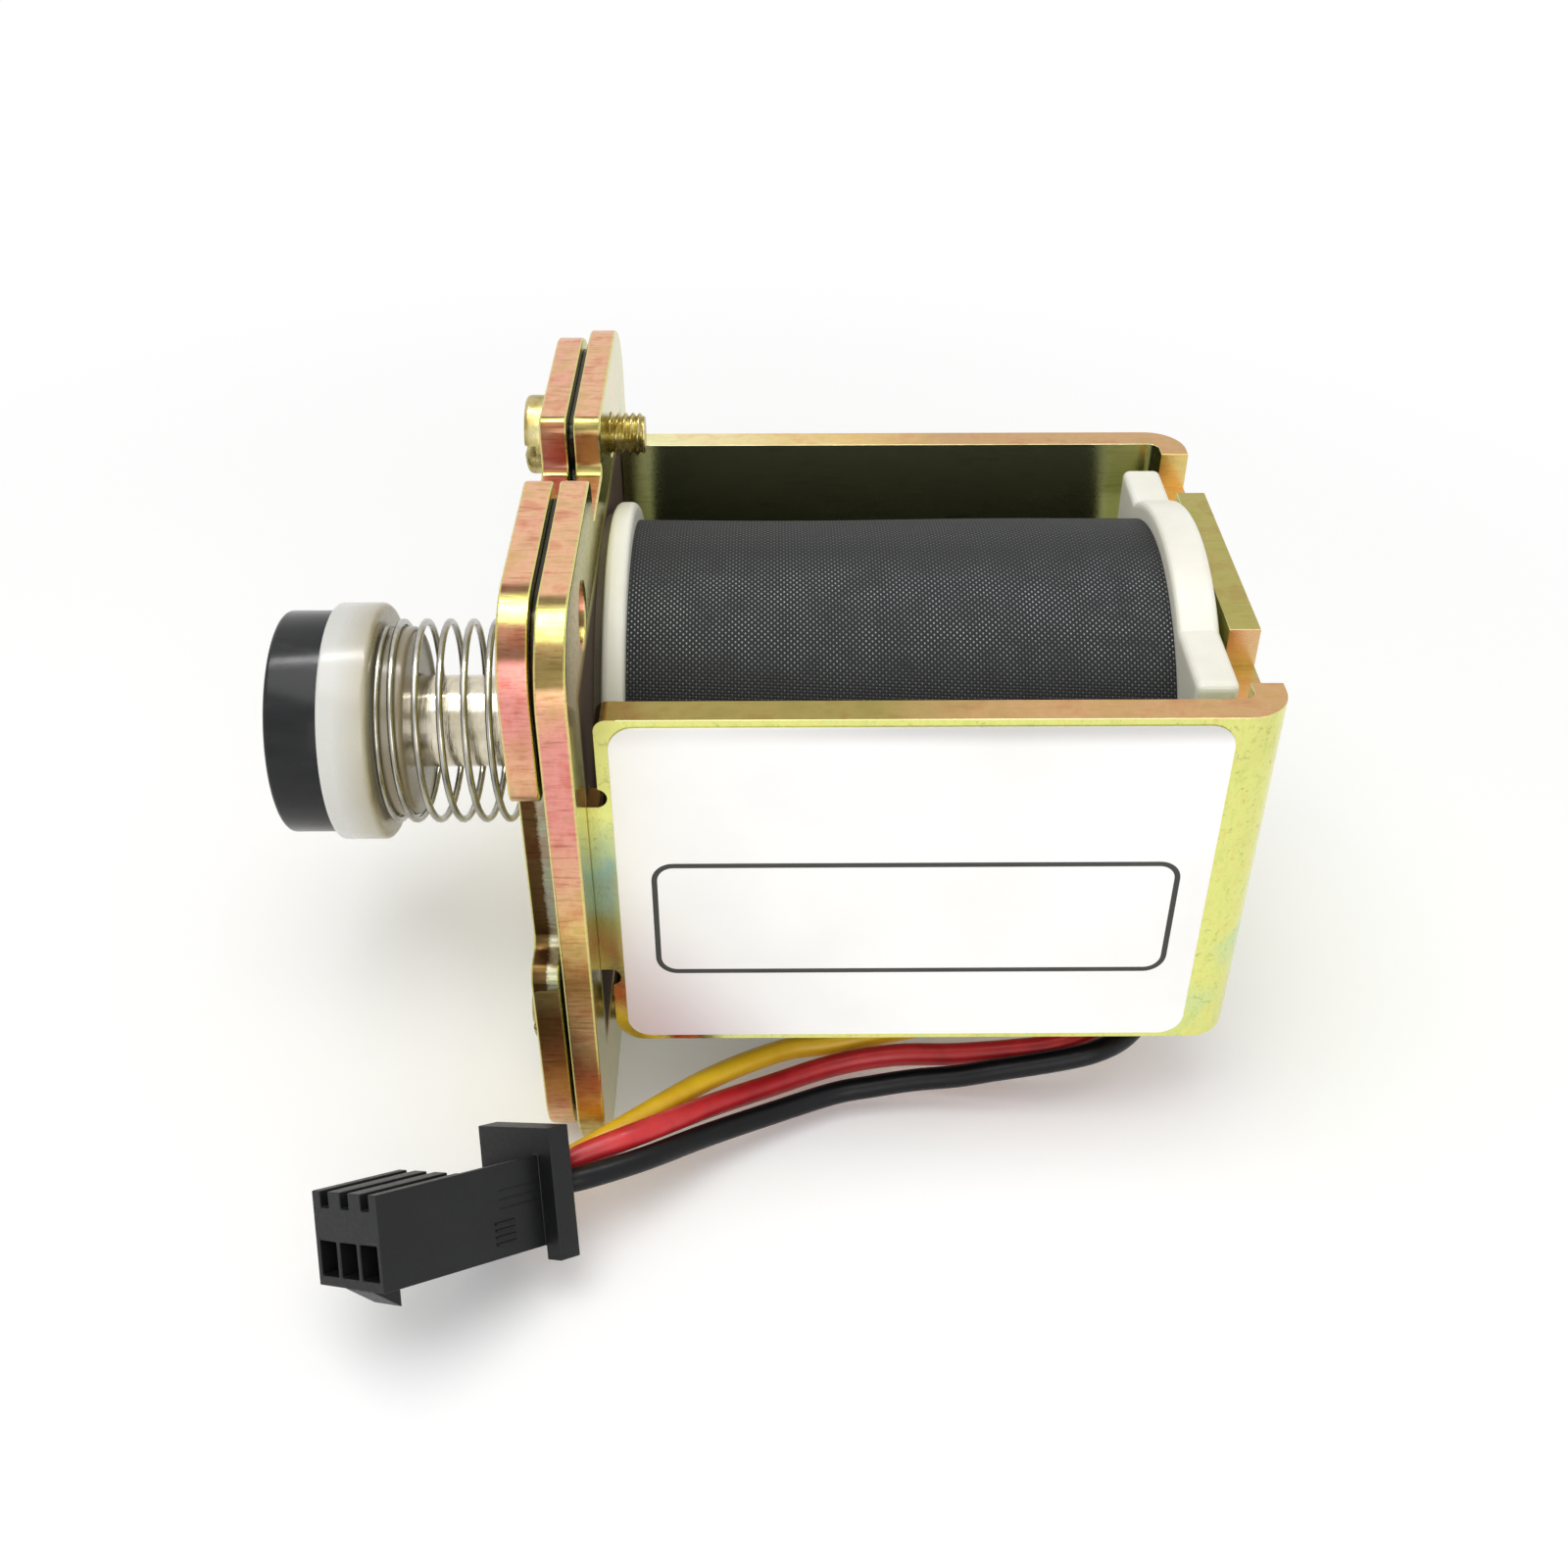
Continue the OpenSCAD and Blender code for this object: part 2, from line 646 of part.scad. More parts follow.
module seal_cap() {
    color("white") difference() {
        union() {
            turned([[cap_front, 0], [cap_front, cap_d / 2], [cap_back - cap_chamfer, cap_d / 2],
                [cap_back, cap_d / 2 - cap_chamfer], [cap_back, 0]]);
            rod(cap_back, cap_back + hub_l, hub_d);
        }
        rod(neck_tip, cap_back + hub_l + cut, neck_d + 2 * push_fit);
        rod(cap_front - cut, cap_front + stem_l, stem_d + 2 * push_fit);
    }
}

module seal_disc() {
    color("black") {
        rod(disc_front, cap_front, disc_d);
        rod(cap_front, cap_front + stem_l, stem_d);
    }
}

module terminal_pins() {
    color("gold") lead_places() translate([0, 0, lead_floor]) cylinder(h = pin_l, d = pin_d);
}

module lead_yellow() {
    color("gold") swept_wire(yellow_route, lead_d, 8);
}

module lead_red() {
    color("crimson") swept_wire(red_route, lead_d, 8);
}

module lead_black() {
    color("black") swept_wire(black_route, lead_d, 8);
}

// Moves a piece from the plug's own frame, where X runs back from the mating face, to its place
module plug_place() {
    translate(plug_at) rotate(plug_turn) children();
}

// A ramp under the front that locks the plug in its mate
module locking_ramp() {
    translate([0, ramp_w / 2 - ramp_shift, 0]) rotate([90, 0, 0]) linear_extrude(ramp_w)
        polygon([[0, 0], [ramp_l, -ramp_h], [ramp_l, socket_floor], [0, socket_floor]]);
}

// The collar at the leads' end, with a wing at the closed side
module plug_collar() {
    collar_w = plug_w + wing_w;
    step_z = plug_h - recess_depth;
    translate([plug_l, -plug_w / 2 - wing_w, 0]) {
        cube([collar_t, collar_w, step_z]);
        translate([0, 0, step_z]) cube([collar_t, collar_w - collar_inset, recess_depth + collar_top]);
        translate([0, 0, -wing_drop]) cube([collar_t, wing_w, wing_drop + step_z]);
    }
}

module plug_housing() {
    plug_end = plug_l + collar_t;
    color("black") plug_place() difference() {
        union() {
            translate([0, -plug_w / 2, 0]) cube([plug_l, plug_w, plug_h]);
            plug_collar();
            locking_ramp();
        }
        for (y = plug_ys) {
            translate([-cut, y - socket_w / 2, socket_floor])
                cube([socket_depth + cut, socket_w, socket_h]);
            translate([-cut, y - groove_w / 2, plug_h - groove_depth])
                cube([grooved_l + 2 * cut, groove_w, groove_depth + cut]);
            translate([plug_end - plug_hole_depth, y, lead_hole_z]) rotate([0, 90, 0])
                cylinder(h = plug_hole_depth + cut, d = lead_d + 2 * lead_gap);
        }
        translate([grooved_l, recess_wall - plug_w / 2, plug_h - recess_depth])
            cube([plug_l - grooved_l, plug_w, recess_depth + cut]);
    }
}

// Square metal contacts that lie on the floors of the sockets
module plug_contacts() {
    contact_x = socket_depth - contact_l;
    bore = contact_w - 2 * contact_wall;
    color("goldenrod") plug_place() for (y = plug_ys)
        translate([contact_x, y - contact_w / 2, socket_floor]) difference() {
            cube([contact_l, contact_w, contact_w]);
            translate([-cut, contact_wall, contact_wall]) cube([contact_l, bore, bore]);
        }
}

outer_plate();
plate_gasket();
inner_plate();
plate_screws();
yoke();
label();
bobbin();
coil_washer();
pull_in_winding();
winding_film();
hold_winding();
coil_tape();
guide_sleeve();
sleeve_ring();
fixed_core();
core_shim();
plunger();
return_spring();
seal_cap();
seal_disc();
terminal_pins();
lead_yellow();
lead_red();
lead_black();
plug_housing();
plug_contacts();
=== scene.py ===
import math
from contextlib import contextmanager

import bmesh
import bpy
from mathutils import Euler, Matrix, Vector


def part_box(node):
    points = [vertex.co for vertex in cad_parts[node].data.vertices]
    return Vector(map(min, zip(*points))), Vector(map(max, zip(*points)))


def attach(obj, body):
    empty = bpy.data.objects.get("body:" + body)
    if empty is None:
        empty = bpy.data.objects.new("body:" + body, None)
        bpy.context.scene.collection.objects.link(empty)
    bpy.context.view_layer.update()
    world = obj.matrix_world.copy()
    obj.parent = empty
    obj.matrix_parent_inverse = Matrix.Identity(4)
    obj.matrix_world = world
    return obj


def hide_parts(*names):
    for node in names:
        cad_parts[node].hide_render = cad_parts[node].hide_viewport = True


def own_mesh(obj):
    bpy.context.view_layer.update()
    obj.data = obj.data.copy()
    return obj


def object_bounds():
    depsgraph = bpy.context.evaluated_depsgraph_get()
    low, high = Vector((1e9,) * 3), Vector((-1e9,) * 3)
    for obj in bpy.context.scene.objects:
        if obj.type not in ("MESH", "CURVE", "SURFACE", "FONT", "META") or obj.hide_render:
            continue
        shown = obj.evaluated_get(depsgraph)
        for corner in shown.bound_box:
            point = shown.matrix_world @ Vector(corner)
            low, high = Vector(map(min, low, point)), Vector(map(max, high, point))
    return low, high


# Gas safety solenoid valve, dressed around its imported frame
# Settings are in millimetres and degrees, meshes are in metres

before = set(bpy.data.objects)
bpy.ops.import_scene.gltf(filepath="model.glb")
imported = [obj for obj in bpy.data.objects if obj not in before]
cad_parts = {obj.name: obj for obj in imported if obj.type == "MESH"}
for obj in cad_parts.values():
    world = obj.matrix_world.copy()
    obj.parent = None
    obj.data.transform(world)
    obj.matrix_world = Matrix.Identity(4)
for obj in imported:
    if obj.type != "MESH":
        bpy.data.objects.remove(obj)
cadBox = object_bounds()
mm = 0.001
tiny = 1e-7  # metres, for merging and cutting
print("stage: frame loaded with", len(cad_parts), "nodes")


def linked(name, data):  # a new object in the scene
    made = bpy.data.objects.new(name, data)
    bpy.context.scene.collection.objects.link(made)
    return made


# Camera

cameraSet = {
    "place": (15.583, -102.317, 72.683),
    "pitchDown": 37.52,
    "yaw": 0.4,
    "lens": 39.94,
    "sensor": 36,
    "nearest": 5,
}


def makeCamera(s):
    data = bpy.data.cameras.new("camera")
    data.lens = s["lens"]
    data.sensor_width = s["sensor"]
    data.clip_start = s["nearest"] * mm
    camera = linked("camera", data)
    camera.location = [c * mm for c in s["place"]]
    camera.rotation_euler = (math.radians(90 - s["pitchDown"]), 0, math.radians(-s["yaw"]))
    bpy.context.scene.camera = camera


makeCamera(cameraSet)


# Node helpers for materials and geometry trees

def addNode(tree, kind, wires=None, **settings):
    made = tree.nodes.new(kind)
    for key, value in settings.items():
        setattr(made, key, value)
    for key, value in (wires or {}).items():
        if isinstance(value, bpy.types.NodeSocket):
            tree.links.new(value, made.inputs[key])
        else:
            made.inputs[key].default_value = value
    return made


def tint(code):  # sRGB hex code to a linear colour
    parts = [int(code[i:i + 2], 16) / 255 for i in (0, 2, 4)]
    return tuple(c / 12.92 if c <= 0.04045 else ((c + 0.055) / 1.055) ** 2.4 for c in parts) + (1,)


def calc(tree, operation, *values, clamp=False):
    made = addNode(tree, "ShaderNodeMath", dict(enumerate(values)), operation=operation, use_clamp=clamp)
    return made.outputs[0]


def times(tree, first, second):
    return calc(tree, "MULTIPLY", first, second)


def fit(tree, value, low, high, toLow=0.0, toHigh=1.0, smooth=False):
    wires = {0: value, 1: low, 2: high, 3: toLow, 4: toHigh}
    kind = "SMOOTHSTEP" if smooth else "LINEAR"
    return addNode(tree, "ShaderNodeMapRange", wires, interpolation_type=kind).outputs[0]


def switch(tree, value, place, soft, smooth=False):  # from 0 to 1 around a place
    return fit(tree, value, place - soft, place + soft, smooth=smooth)


def wandered(tree, value, cloud, reach):  # a value shifted either way by noise
    return calc(tree, "MULTIPLY_ADD", cloud, reach, calc(tree, "SUBTRACT", value, reach / 2))


def mix(tree, factor, first, second, mode="MIX"):
    made = addNode(tree, "ShaderNodeMix", {0: factor, 6: first, 7: second}, data_type="RGBA", blend_type=mode)
    return made.outputs[2]


def ramp(tree, factor, stops):
    made = addNode(tree, "ShaderNodeValToRGB", {0: factor})
    elements = made.color_ramp.elements
    for element, (place, code) in zip(elements, (stops[0], stops[-1])):
        element.position = place
        element.color = tint(code)
    for place, code in stops[1:-1]:
        elements.new(place).color = tint(code)
    return made.outputs[0]


def places(tree, stretch=(1, 1, 1)):  # object coordinates in millimetres
    spot = tree.nodes.new("ShaderNodeTexCoord").outputs["Object"]
    wires = {"Vector": spot, "Scale": [s / mm for s in stretch]}
    return addNode(tree, "ShaderNodeMapping", wires).outputs[0]


def axes(tree, spot):
    return addNode(tree, "ShaderNodeSeparateXYZ", {0: spot}).outputs


def noise(tree, spot, scale, detail=3.0, rough=0.5, warp=0.0):
    wires = {"Vector": spot, "Scale": scale, "Detail": detail, "Roughness": rough, "Distortion": warp}
    return addNode(tree, "ShaderNodeTexNoise", wires).outputs[0]


def bump(tree, height, strength, depth):
    wires = {"Height": height, "Strength": strength, "Distance": depth * mm}
    return addNode(tree, "ShaderNodeBump", wires).outputs["Normal"]


def startMaterial(name, fixed):
    material = bpy.data.materials.new(name)
    material.use_nodes = True
    tree = material.node_tree
    shader = tree.nodes["Principled BSDF"]
    for key, value in fixed.items():
        shader.inputs[key].default_value = value
    return material, tree, shader


def join(tree, shader, **wires):
    names = {"color": "Base Color", "rough": "Roughness", "normal": "Normal", "metal": "Metallic"}
    for key, socket in wires.items():
        tree.links.new(socket, shader.inputs[names[key]])


def gloss(tree, marks, rough):  # roughness over the range where most of a noise lies
    return fit(tree, marks, 0.3, 0.7, *rough)


def surface(tree, shader, color, marks, pits, rough, relief):  # gloss from marks, bump from pits
    join(tree, shader, color=color, rough=gloss(tree, marks, rough), normal=bump(tree, pits, *relief))


# Finishes

plating = {  # tones of yellow chromate on zinc
    "pale": "f2eebc", "lime": "e0e288", "gold": "e2c07c", "peach": "e4b48e", "rose": "e49a90",
    "tan": "c8a070", "olive": "969060", "moss": "847c48", "umber": "906a3a", "brown": "7a4e36",
    "shade": "5c4428", "teal": "88a494", "smoke": "aaaa94", "straw": "c8c474", "mint": "c6dca0",
    "celery": "ced4a8", "speck": "6c7450", "shadedNook": "46301c", "reed": "aca25a", "bronze": "a09050",
    "fern": "5c5628",
}
steelSet = {  # each noise is scale per millimetre, detail, roughness and warp
    "wander": (0.22, 4), "grain": (5, 4, 0.65), "blotch": (0.55, 4, 0.6), "lines": (4.5, 3, 0.6),
    "patches": (0.09, 4, 0.5, 0.2), "mottle": (1.5, 6, 0.7), "specks": (2.2, 4, 0.75),
    "lineStretch": (0.12, 1, 1), "mottleStretch": (1, 1, 0.5),
    "blotchTones": [(0.36, "e8bcac"), (0.5, "ffffff"), (0.66, "dfe8b8")],
    "lineTones": [(0.3, "bca69c"), (0.46, "f8f4f0"), (0.7, "ffffff")],
    "castTones": [(0.34, "d8dcb4"), (0.5, "ffffff"), (0.66, "f6dcc0")],
    "castShare": 0.35, "speckReach": (0.57, 0.7), "speckShare": 0.4, "specialLines": 0.5,
    "rough": (0.12, 0.22), "edgeRough": 0.16, "ridges": 1.2, "pits": 0.3, "relief": (0.4, 0.04),
}
# painted highlight on the crown of the plates' front corners, with painted shade just below it
cornerTones = {
    "front": (-0.02, -0.12), "share": 0.85, "soft": 0.05, "flat": 0.985, "flatSoft": 0.04,
    "highlightTone": "lime",
}
plateTones = {  # shared by the two plates, whose stops run from bottom to top; the stops are the plating's own tones with painted shade and reflection in them
    "low": -21.5,
    "high": 21.5,
    "axis": 2,
    "wander": 5.6,
    "lines": 0.6,
    "blotch": 0.6,
    "face": [(0.22, "reed"), (0.48, "straw"), (0.66, "gold"), (0.84, "mint")],
}
outerTones = {
    **plateTones,
    "stops": [
        (0.04, "gold"), (0.13, "peach"), (0.2, "tan"), (0.3, "umber"), (0.4, "olive"), (0.68, "olive"),
        (0.76, "peach"), (0.85, "rose"), (0.95, "rose"), (1.0, "peach"),
    ],
    "corner": {**cornerTones, "under": 0.54, "highlight": 0.84, "underTone": "shade"},
}
innerTones = {
    **plateTones,
    "stops": [
        (0.04, "straw"), (0.15, "gold"), (0.3, "tan"), (0.42, "umber"), (0.5, "gold"), (0.6, "peach"),
        (0.7, "rose"), (0.85, "rose"), (0.93, "peach"), (1.0, "peach"),
    ],
    "corner": {**cornerTones, "under": 0.4, "highlight": 0.8, "underTone": "fern"},
}
yokeTones = {  # sheared edges of the yoke, from the plates to the end wall; the front edges darken next to the plates, painted shade
    "low": 4.1,
    "high": 46.5,
    "axis": 0,
    "wander": 10,
    "lines": 0.2,
    "blotch": 0.35,
    "stops": [(0.0, "umber"), (0.08, "bronze"), (0.42, "bronze"), (0.6, "tan"), (1.0, "tan")],
    "backStops": [(0.0, "pale"), (0.4, "gold"), (0.6, "tan"), (1.0, "tan")],
    "face": [(0.2, "straw"), (0.48, "lime"), (0.62, "lime"), (0.74, "mint"), (0.86, "gold")],
}
stripTones = {  # flat strip of the yoke beside the label, from bottom to top; the tones are the plating's colour with painted shade and reflection from the plate beside it
    "low": -13.3,
    "high": 13.3,
    "from": 5.0,
    "to": 7.0,
    "stops": [
        (0.04, "lime"), (0.18, "straw"), (0.3, "umber"), (0.42, "moss"), (0.56, "teal"), (0.72, "lime"),
        (0.95, "straw"),
    ],
}
endTones = {  # end wall's top edge
    "from": 43.6, "to": 44.4, "inside": 9.0, "outside": 13.0, "tone": "reed",
}
waistTones = {  # torn wall of the waist
    "low": -6.0, "high": 9.0, "tear": 0.5, "split": 1.05, "soft": 0.1, "dark": "shade", "pale": "smoke",
}
shadedNookTones = {  # painted shade on the inner plate's back face inside the yoke: a dark brown tone, high roughness and no metal
    "face": 4.0, "y": 19.4, "low": -12.6, "high": 15.5, "soft": 1.2, "rough": 0.9, "tone": "shadedNook",
}


def tone(name):
    return tint(plating[name])


def toned(stops):
    return [(place, plating[name]) for place, name in stops]


def endTone(tree, color, across, end):
    far = fit(tree, across[0], end["from"], end["to"])
    middle = fit(tree, calc(tree, "ABSOLUTE", across[1]), end["inside"], end["outside"], 1.0, 0.0)
    return mix(tree, times(tree, far, middle), color, tone(end["tone"]))


def cornerLight(tree, color, s):  # front corners of a plate, with painted shade below the turn and a painted highlight on its crown
    facing = axes(tree, addNode(tree, "ShaderNodeNewGeometry").outputs["Normal"])
    front = fit(tree, facing[1], *s["front"], 0.0, s["share"])
    under = switch(tree, facing[2], s["under"], s["soft"], True)
    highlight = switch(tree, facing[2], s["highlight"], s["soft"], True)
    highlight = times(tree, highlight, fit(tree, facing[2], s["flat"] - s["flatSoft"], s["flat"], 1.0, 0.0))
    color = mix(tree, times(tree, under, front), color, tone(s["underTone"]))
    return mix(tree, times(tree, highlight, front), color, tone(s["highlightTone"]))


def waistTone(tree, color, across, along, grain, s):
    above = calc(tree, "GREATER_THAN", along, s["low"])
    below = calc(tree, "LESS_THAN", along, s["high"])
    side = switch(tree, wandered(tree, across[0], grain, s["tear"]), s["split"], s["soft"])
    wall = mix(tree, side, tone(s["dark"]), tone(s["pale"]))
    return mix(tree, times(tree, above, below), color, wall)


# share of the painted shade inside the yoke, soft at its edges
def shadedNookShare(tree, across, shadedNook):
    wide = fit(tree, calc(tree, "ABSOLUTE", across[1]), shadedNook["y"] - shadedNook["soft"], shadedNook["y"], 1.0, 0.0)
    tall = fit(tree, across[2], shadedNook["high"] - shadedNook["soft"], shadedNook["high"], 1.0, 0.0)
    tall = times(tree, tall, fit(tree, across[2], shadedNook["low"] - shadedNook["soft"], shadedNook["low"]))
    return times(tree, times(tree, wide, tall), calc(tree, "GREATER_THAN", across[0], shadedNook["face"]))


def platedSteel(name, edge, strip=None, end=None, waist=None, shadedNook=None, s=steelSet):
    material, tree, shader = startMaterial(name, {"Metallic": 1.0})
    spot = places(tree)
    across = axes(tree, spot)
    grain = noise(tree, spot, *s["grain"])
    lines = noise(tree, places(tree, s["lineStretch"]), *s["lines"])
    sheared = addNode(tree, "ShaderNodeAttribute", attribute_name="sheared").outputs["Fac"]
    special = addNode(tree, "ShaderNodeAttribute", attribute_name="special").outputs

    wander = noise(tree, spot, *s["wander"])  # sheared edges
    along = wandered(tree, across[edge["axis"]], wander, edge["wander"])
    run = fit(tree, along, edge["low"], edge["high"])
    edgeColor = ramp(tree, run, toned(edge["stops"]))
    if "backStops" in edge:
        back = calc(tree, "GREATER_THAN", across[1], 0.0)
        edgeColor = mix(tree, back, edgeColor, ramp(tree, run, toned(edge["backStops"])))
    if end:
        edgeColor = endTone(tree, edgeColor, across, end)
    # painted highlight and painted shade on the front corners
    if "corner" in edge:
        edgeColor = cornerLight(tree, edgeColor, edge["corner"])
    if waist:
        edgeColor = waistTone(tree, edgeColor, across, along, grain, waist)
    blotch = ramp(tree, noise(tree, spot, *s["blotch"]), s["blotchTones"])
    edgeColor = mix(tree, edge["blotch"], edgeColor, blotch, "MULTIPLY")
    shade = ramp(tree, lines, s["lineTones"])
    edgeColor = mix(tree, edge["lines"], edgeColor, shade, "MULTIPLY")

    faceColor = ramp(tree, noise(tree, spot, *s["patches"]), toned(edge["face"]))  # flat faces
    cast = ramp(tree, noise(tree, places(tree, s["mottleStretch"]), *s["mottle"]), s["castTones"])
    faceColor = mix(tree, s["castShare"], faceColor, cast, "MULTIPLY")
    # painted shade and reflection on the strip beside the label
    if strip:
        climb = fit(tree, wandered(tree, across[2], wander, edge["wander"]), strip["low"], strip["high"])
        near = fit(tree, across[0], strip["from"], strip["to"], 1.0, 0.0, True)
        faceColor = mix(tree, near, faceColor, ramp(tree, climb, toned(strip["stops"])))
    rough = calc(tree, "MULTIPLY_ADD", sheared, s["edgeRough"], gloss(tree, grain, s["rough"]))
    # painted shade inside the yoke: dark tone, rough and not metal
    if shadedNook:
        inShade = shadedNookShare(tree, across, shadedNook)
        faceColor = mix(tree, inShade, faceColor, tone(shadedNook["tone"]))
        rough = fit(tree, inShade, 0.0, 1.0, rough, shadedNook["rough"])
        join(tree, shader, metal=fit(tree, inShade, 0.0, 1.0, 1.0, 0.0))
    specks = fit(tree, noise(tree, spot, *s["specks"]), *s["speckReach"])
    faceColor = mix(tree, times(tree, specks, s["speckShare"]), faceColor, tone("speck"))

    color = mix(tree, sheared, faceColor, edgeColor)
    # special tones from the rules, among them painted highlights and painted shade
    marked = mix(tree, s["specialLines"], special["Color"], shade, "MULTIPLY")
    color = mix(tree, special["Alpha"], color, marked)
    ridges = times(tree, lines, sheared)
    height = calc(tree, "MULTIPLY_ADD", ridges, s["ridges"], times(tree, grain, s["pits"]))
    join(tree, shader, color=color, rough=rough, normal=bump(tree, height, *s["relief"]))
    return material


even, lengthwise, around = (1, 1, 1), (0.3, 1, 1), (1, 0.12, 0.12)  # stretches of a noise
metalKind = {  # each noise is its stretch, then scale per millimetre, detail and roughness
    "fixed": {"Metallic": 1.0}, "stops": (0.3, 0.7), "cloud": (even, 0.5, 4), "marks": (even, 6, 3, 0.6),
    "relief": (0.25, 0.02),
}
turnedKind = {**metalKind, "marks": (around, 6, 3, 0.6)}
screwKind = {
    "fixed": {"Metallic": 0.95}, "stops": (0.3, 0.5, 0.7), "cloud": (even, 0.9, 4), "marks": (even, 3, 3),
    "pits": (even, 8, 3), "relief": (0.3, 0.02),
}
plasticKind = {
    "fixed": {}, "stops": (0.3, 0.55, 0.75), "cloud": (even, 0.16, 4, 0.55), "marks": (even, 4, 3, 0.6),
    "relief": (0.3, 0.02),
}
nylonKind = {
    **plasticKind,
    "fixed": {"Subsurface Weight": 0.2, "Subsurface Scale": 1.2 * mm, "Subsurface Radius": (1.0, 0.85, 0.6)},
}
plugKind = {**plasticKind, "fixed": {"Specular IOR Level": 0.3}}
rubberKind = {
    "fixed": {"Specular IOR Level": 0.32}, "stops": (0.35, 0.6, 0.8), "cloud": (lengthwise, 0.8, 5, 0.65),
    "marks": (lengthwise, 0.8, 5, 0.65), "pits": (even, 7, 3), "relief": (0.25, 0.02),
}
pvcKind = {
    "fixed": {}, "stops": (0.3, 0.6, 0.8), "cloud": (even, 0.3, 4), "marks": (lengthwise, 4, 3),
    "relief": (0.2, 0.02),
}
darkPvcKind = {**pvcKind, "fixed": {"Specular IOR Level": 0.22}}


def plainFinish(name, kind, rough, *codes):  # relief comes from pits, or else from marks
    material, tree, shader = startMaterial(name, kind["fixed"])

    def spread(stretch, *values):
        return noise(tree, places(tree, stretch), *values)

    color = ramp(tree, spread(*kind["cloud"]), list(zip(kind["stops"], codes)))
    marks = spread(*kind["marks"])
    pits = spread(*kind["pits"]) if "pits" in kind else marks
    surface(tree, shader, color, marks, pits, rough, kind["relief"])
    return material


capTones = {
    "fixed": {"Specular IOR Level": 0.6, "Subsurface Weight": 0.2, "Subsurface Scale": 0.8 * mm},
    "cloud": (0.3, 4), "wander": 0.6, "marks": (5, 3), "rough": (0.18, 0.28), "relief": (0.15, 0.02),
    # the cap turns darker towards its back: painted shade
    "rim": "d4d4d0", "rimEnd": -13.2, "rimSoft": 1.0, "back": "bbb6a4",
    "hub": "8f846b", "hubStart": -11.9, "hubSoft": 0.2,
}


def capPlastic(name, s):
    material, tree, shader = startMaterial(name, s["fixed"])
    spot = places(tree)
    along = wandered(tree, axes(tree, spot)[0], noise(tree, spot, *s["cloud"]), s["wander"])
    # painted shade towards the back of the cap
    back = switch(tree, along, s["rimEnd"], s["rimSoft"])
    hub = switch(tree, along, s["hubStart"], s["hubSoft"])
    color = mix(tree, hub, mix(tree, back, tint(s["rim"]), tint(s["back"])), tint(s["hub"]))
    marks = noise(tree, spot, *s["marks"])
    surface(tree, shader, color, marks, marks, s["rough"], s["relief"])
    return material


weaveSet = {
    "thread": 0.21, "dark": "08090a", "threadTone": "16171a", "sunk": 0.55, "flatness": 0.5,
    # painted glint: a pale highlight tone on thread crowns, in noise patches, strongest where the surface
    # faces forward and up
    "glintPatches": (0.45, 7, 0.72), "worn": (0.32, 0.62), "patchGlint": (0.15, 1.0),
    "highlight": "c6cfd1", "crownReach": (0.6, 0.95),
    "facing": -0.42, "glintReach": (0.08, 0.4), "glint": (0.9, 0.08),
    "roughReach": (0.2, 1.0), "rough": (0.7, 0.36), "relief": (0.8, 0.08),
}


def wovenTape(name, s):
    material, tree, shader = startMaterial(name, {"Specular IOR Level": 0.4})
    cloth = axes(tree, addNode(tree, "ShaderNodeUVMap", uv_map="cloth").outputs[0])
    warp = calc(tree, "DIVIDE", cloth[0], s["thread"])
    weft = calc(tree, "DIVIDE", cloth[1], s["thread"])
    square = calc(tree, "ADD", calc(tree, "FLOOR", warp), calc(tree, "FLOOR", weft))
    over = calc(tree, "LESS_THAN", calc(tree, "FLOORED_MODULO", square, 2.0), 0.5)

    def crest(value):
        part = calc(tree, "SUBTRACT", calc(tree, "FRACT", value), 0.5)
        return calc(tree, "COSINE", times(tree, part, math.pi))

    across, along = crest(warp), crest(weft)
    high = times(tree, over, times(tree, along, calc(tree, "POWER", across, s["flatness"])))
    low = times(tree, calc(tree, "SUBTRACT", 1.0, over), times(tree, across, along))
    height = calc(tree, "ADD", high, times(tree, low, s["sunk"]))
    color = mix(tree, height, tint(s["dark"]), tint(s["threadTone"]))
    # painted glint on the thread crowns, in noise patches and on the forward and upward facing side
    glintPatches = fit(tree, noise(tree, places(tree), *s["glintPatches"]), *s["worn"], *s["patchGlint"])
    forward = axes(tree, addNode(tree, "ShaderNodeNewGeometry").outputs["Normal"])[1]
    turned = calc(tree, "ABSOLUTE", calc(tree, "SUBTRACT", forward, s["facing"]))
    glint = times(tree, fit(tree, high, *s["crownReach"]), glintPatches)
    glint = times(tree, glint, fit(tree, turned, *s["glintReach"], *s["glint"], True))
    color = mix(tree, glint, color, tint(s["highlight"]))
    rough = fit(tree, high, *s["roughReach"], *s["rough"])
    join(tree, shader, color=color, rough=rough, normal=bump(tree, height, *s["relief"]))
    return material


labelTones = {
    "film": [(0.3, "f3f1ee"), (0.6, "fbfaf8"), (0.8, "f6f2f4")],
    "cloud": (0.07, 4), "marks": (6, 3), "rough": (0.3, 0.42), "relief": (0.12, 0.02),
    # lower left corner, a painted pinkish grey reflection
    "aged": "ccb8bc", "agedReach": (-4.0, 9.0), "agedShare": 0.85, "agedSlope": 0.8,
    # top edge, greyer along it and more so to the right
    "topGrey": "8c8884", "topGreyReach": (11.2, 12.7), "topGreyShare": 0.45, "topGreyRun": (12.0, 24.0, 0.4, 1.0),
}


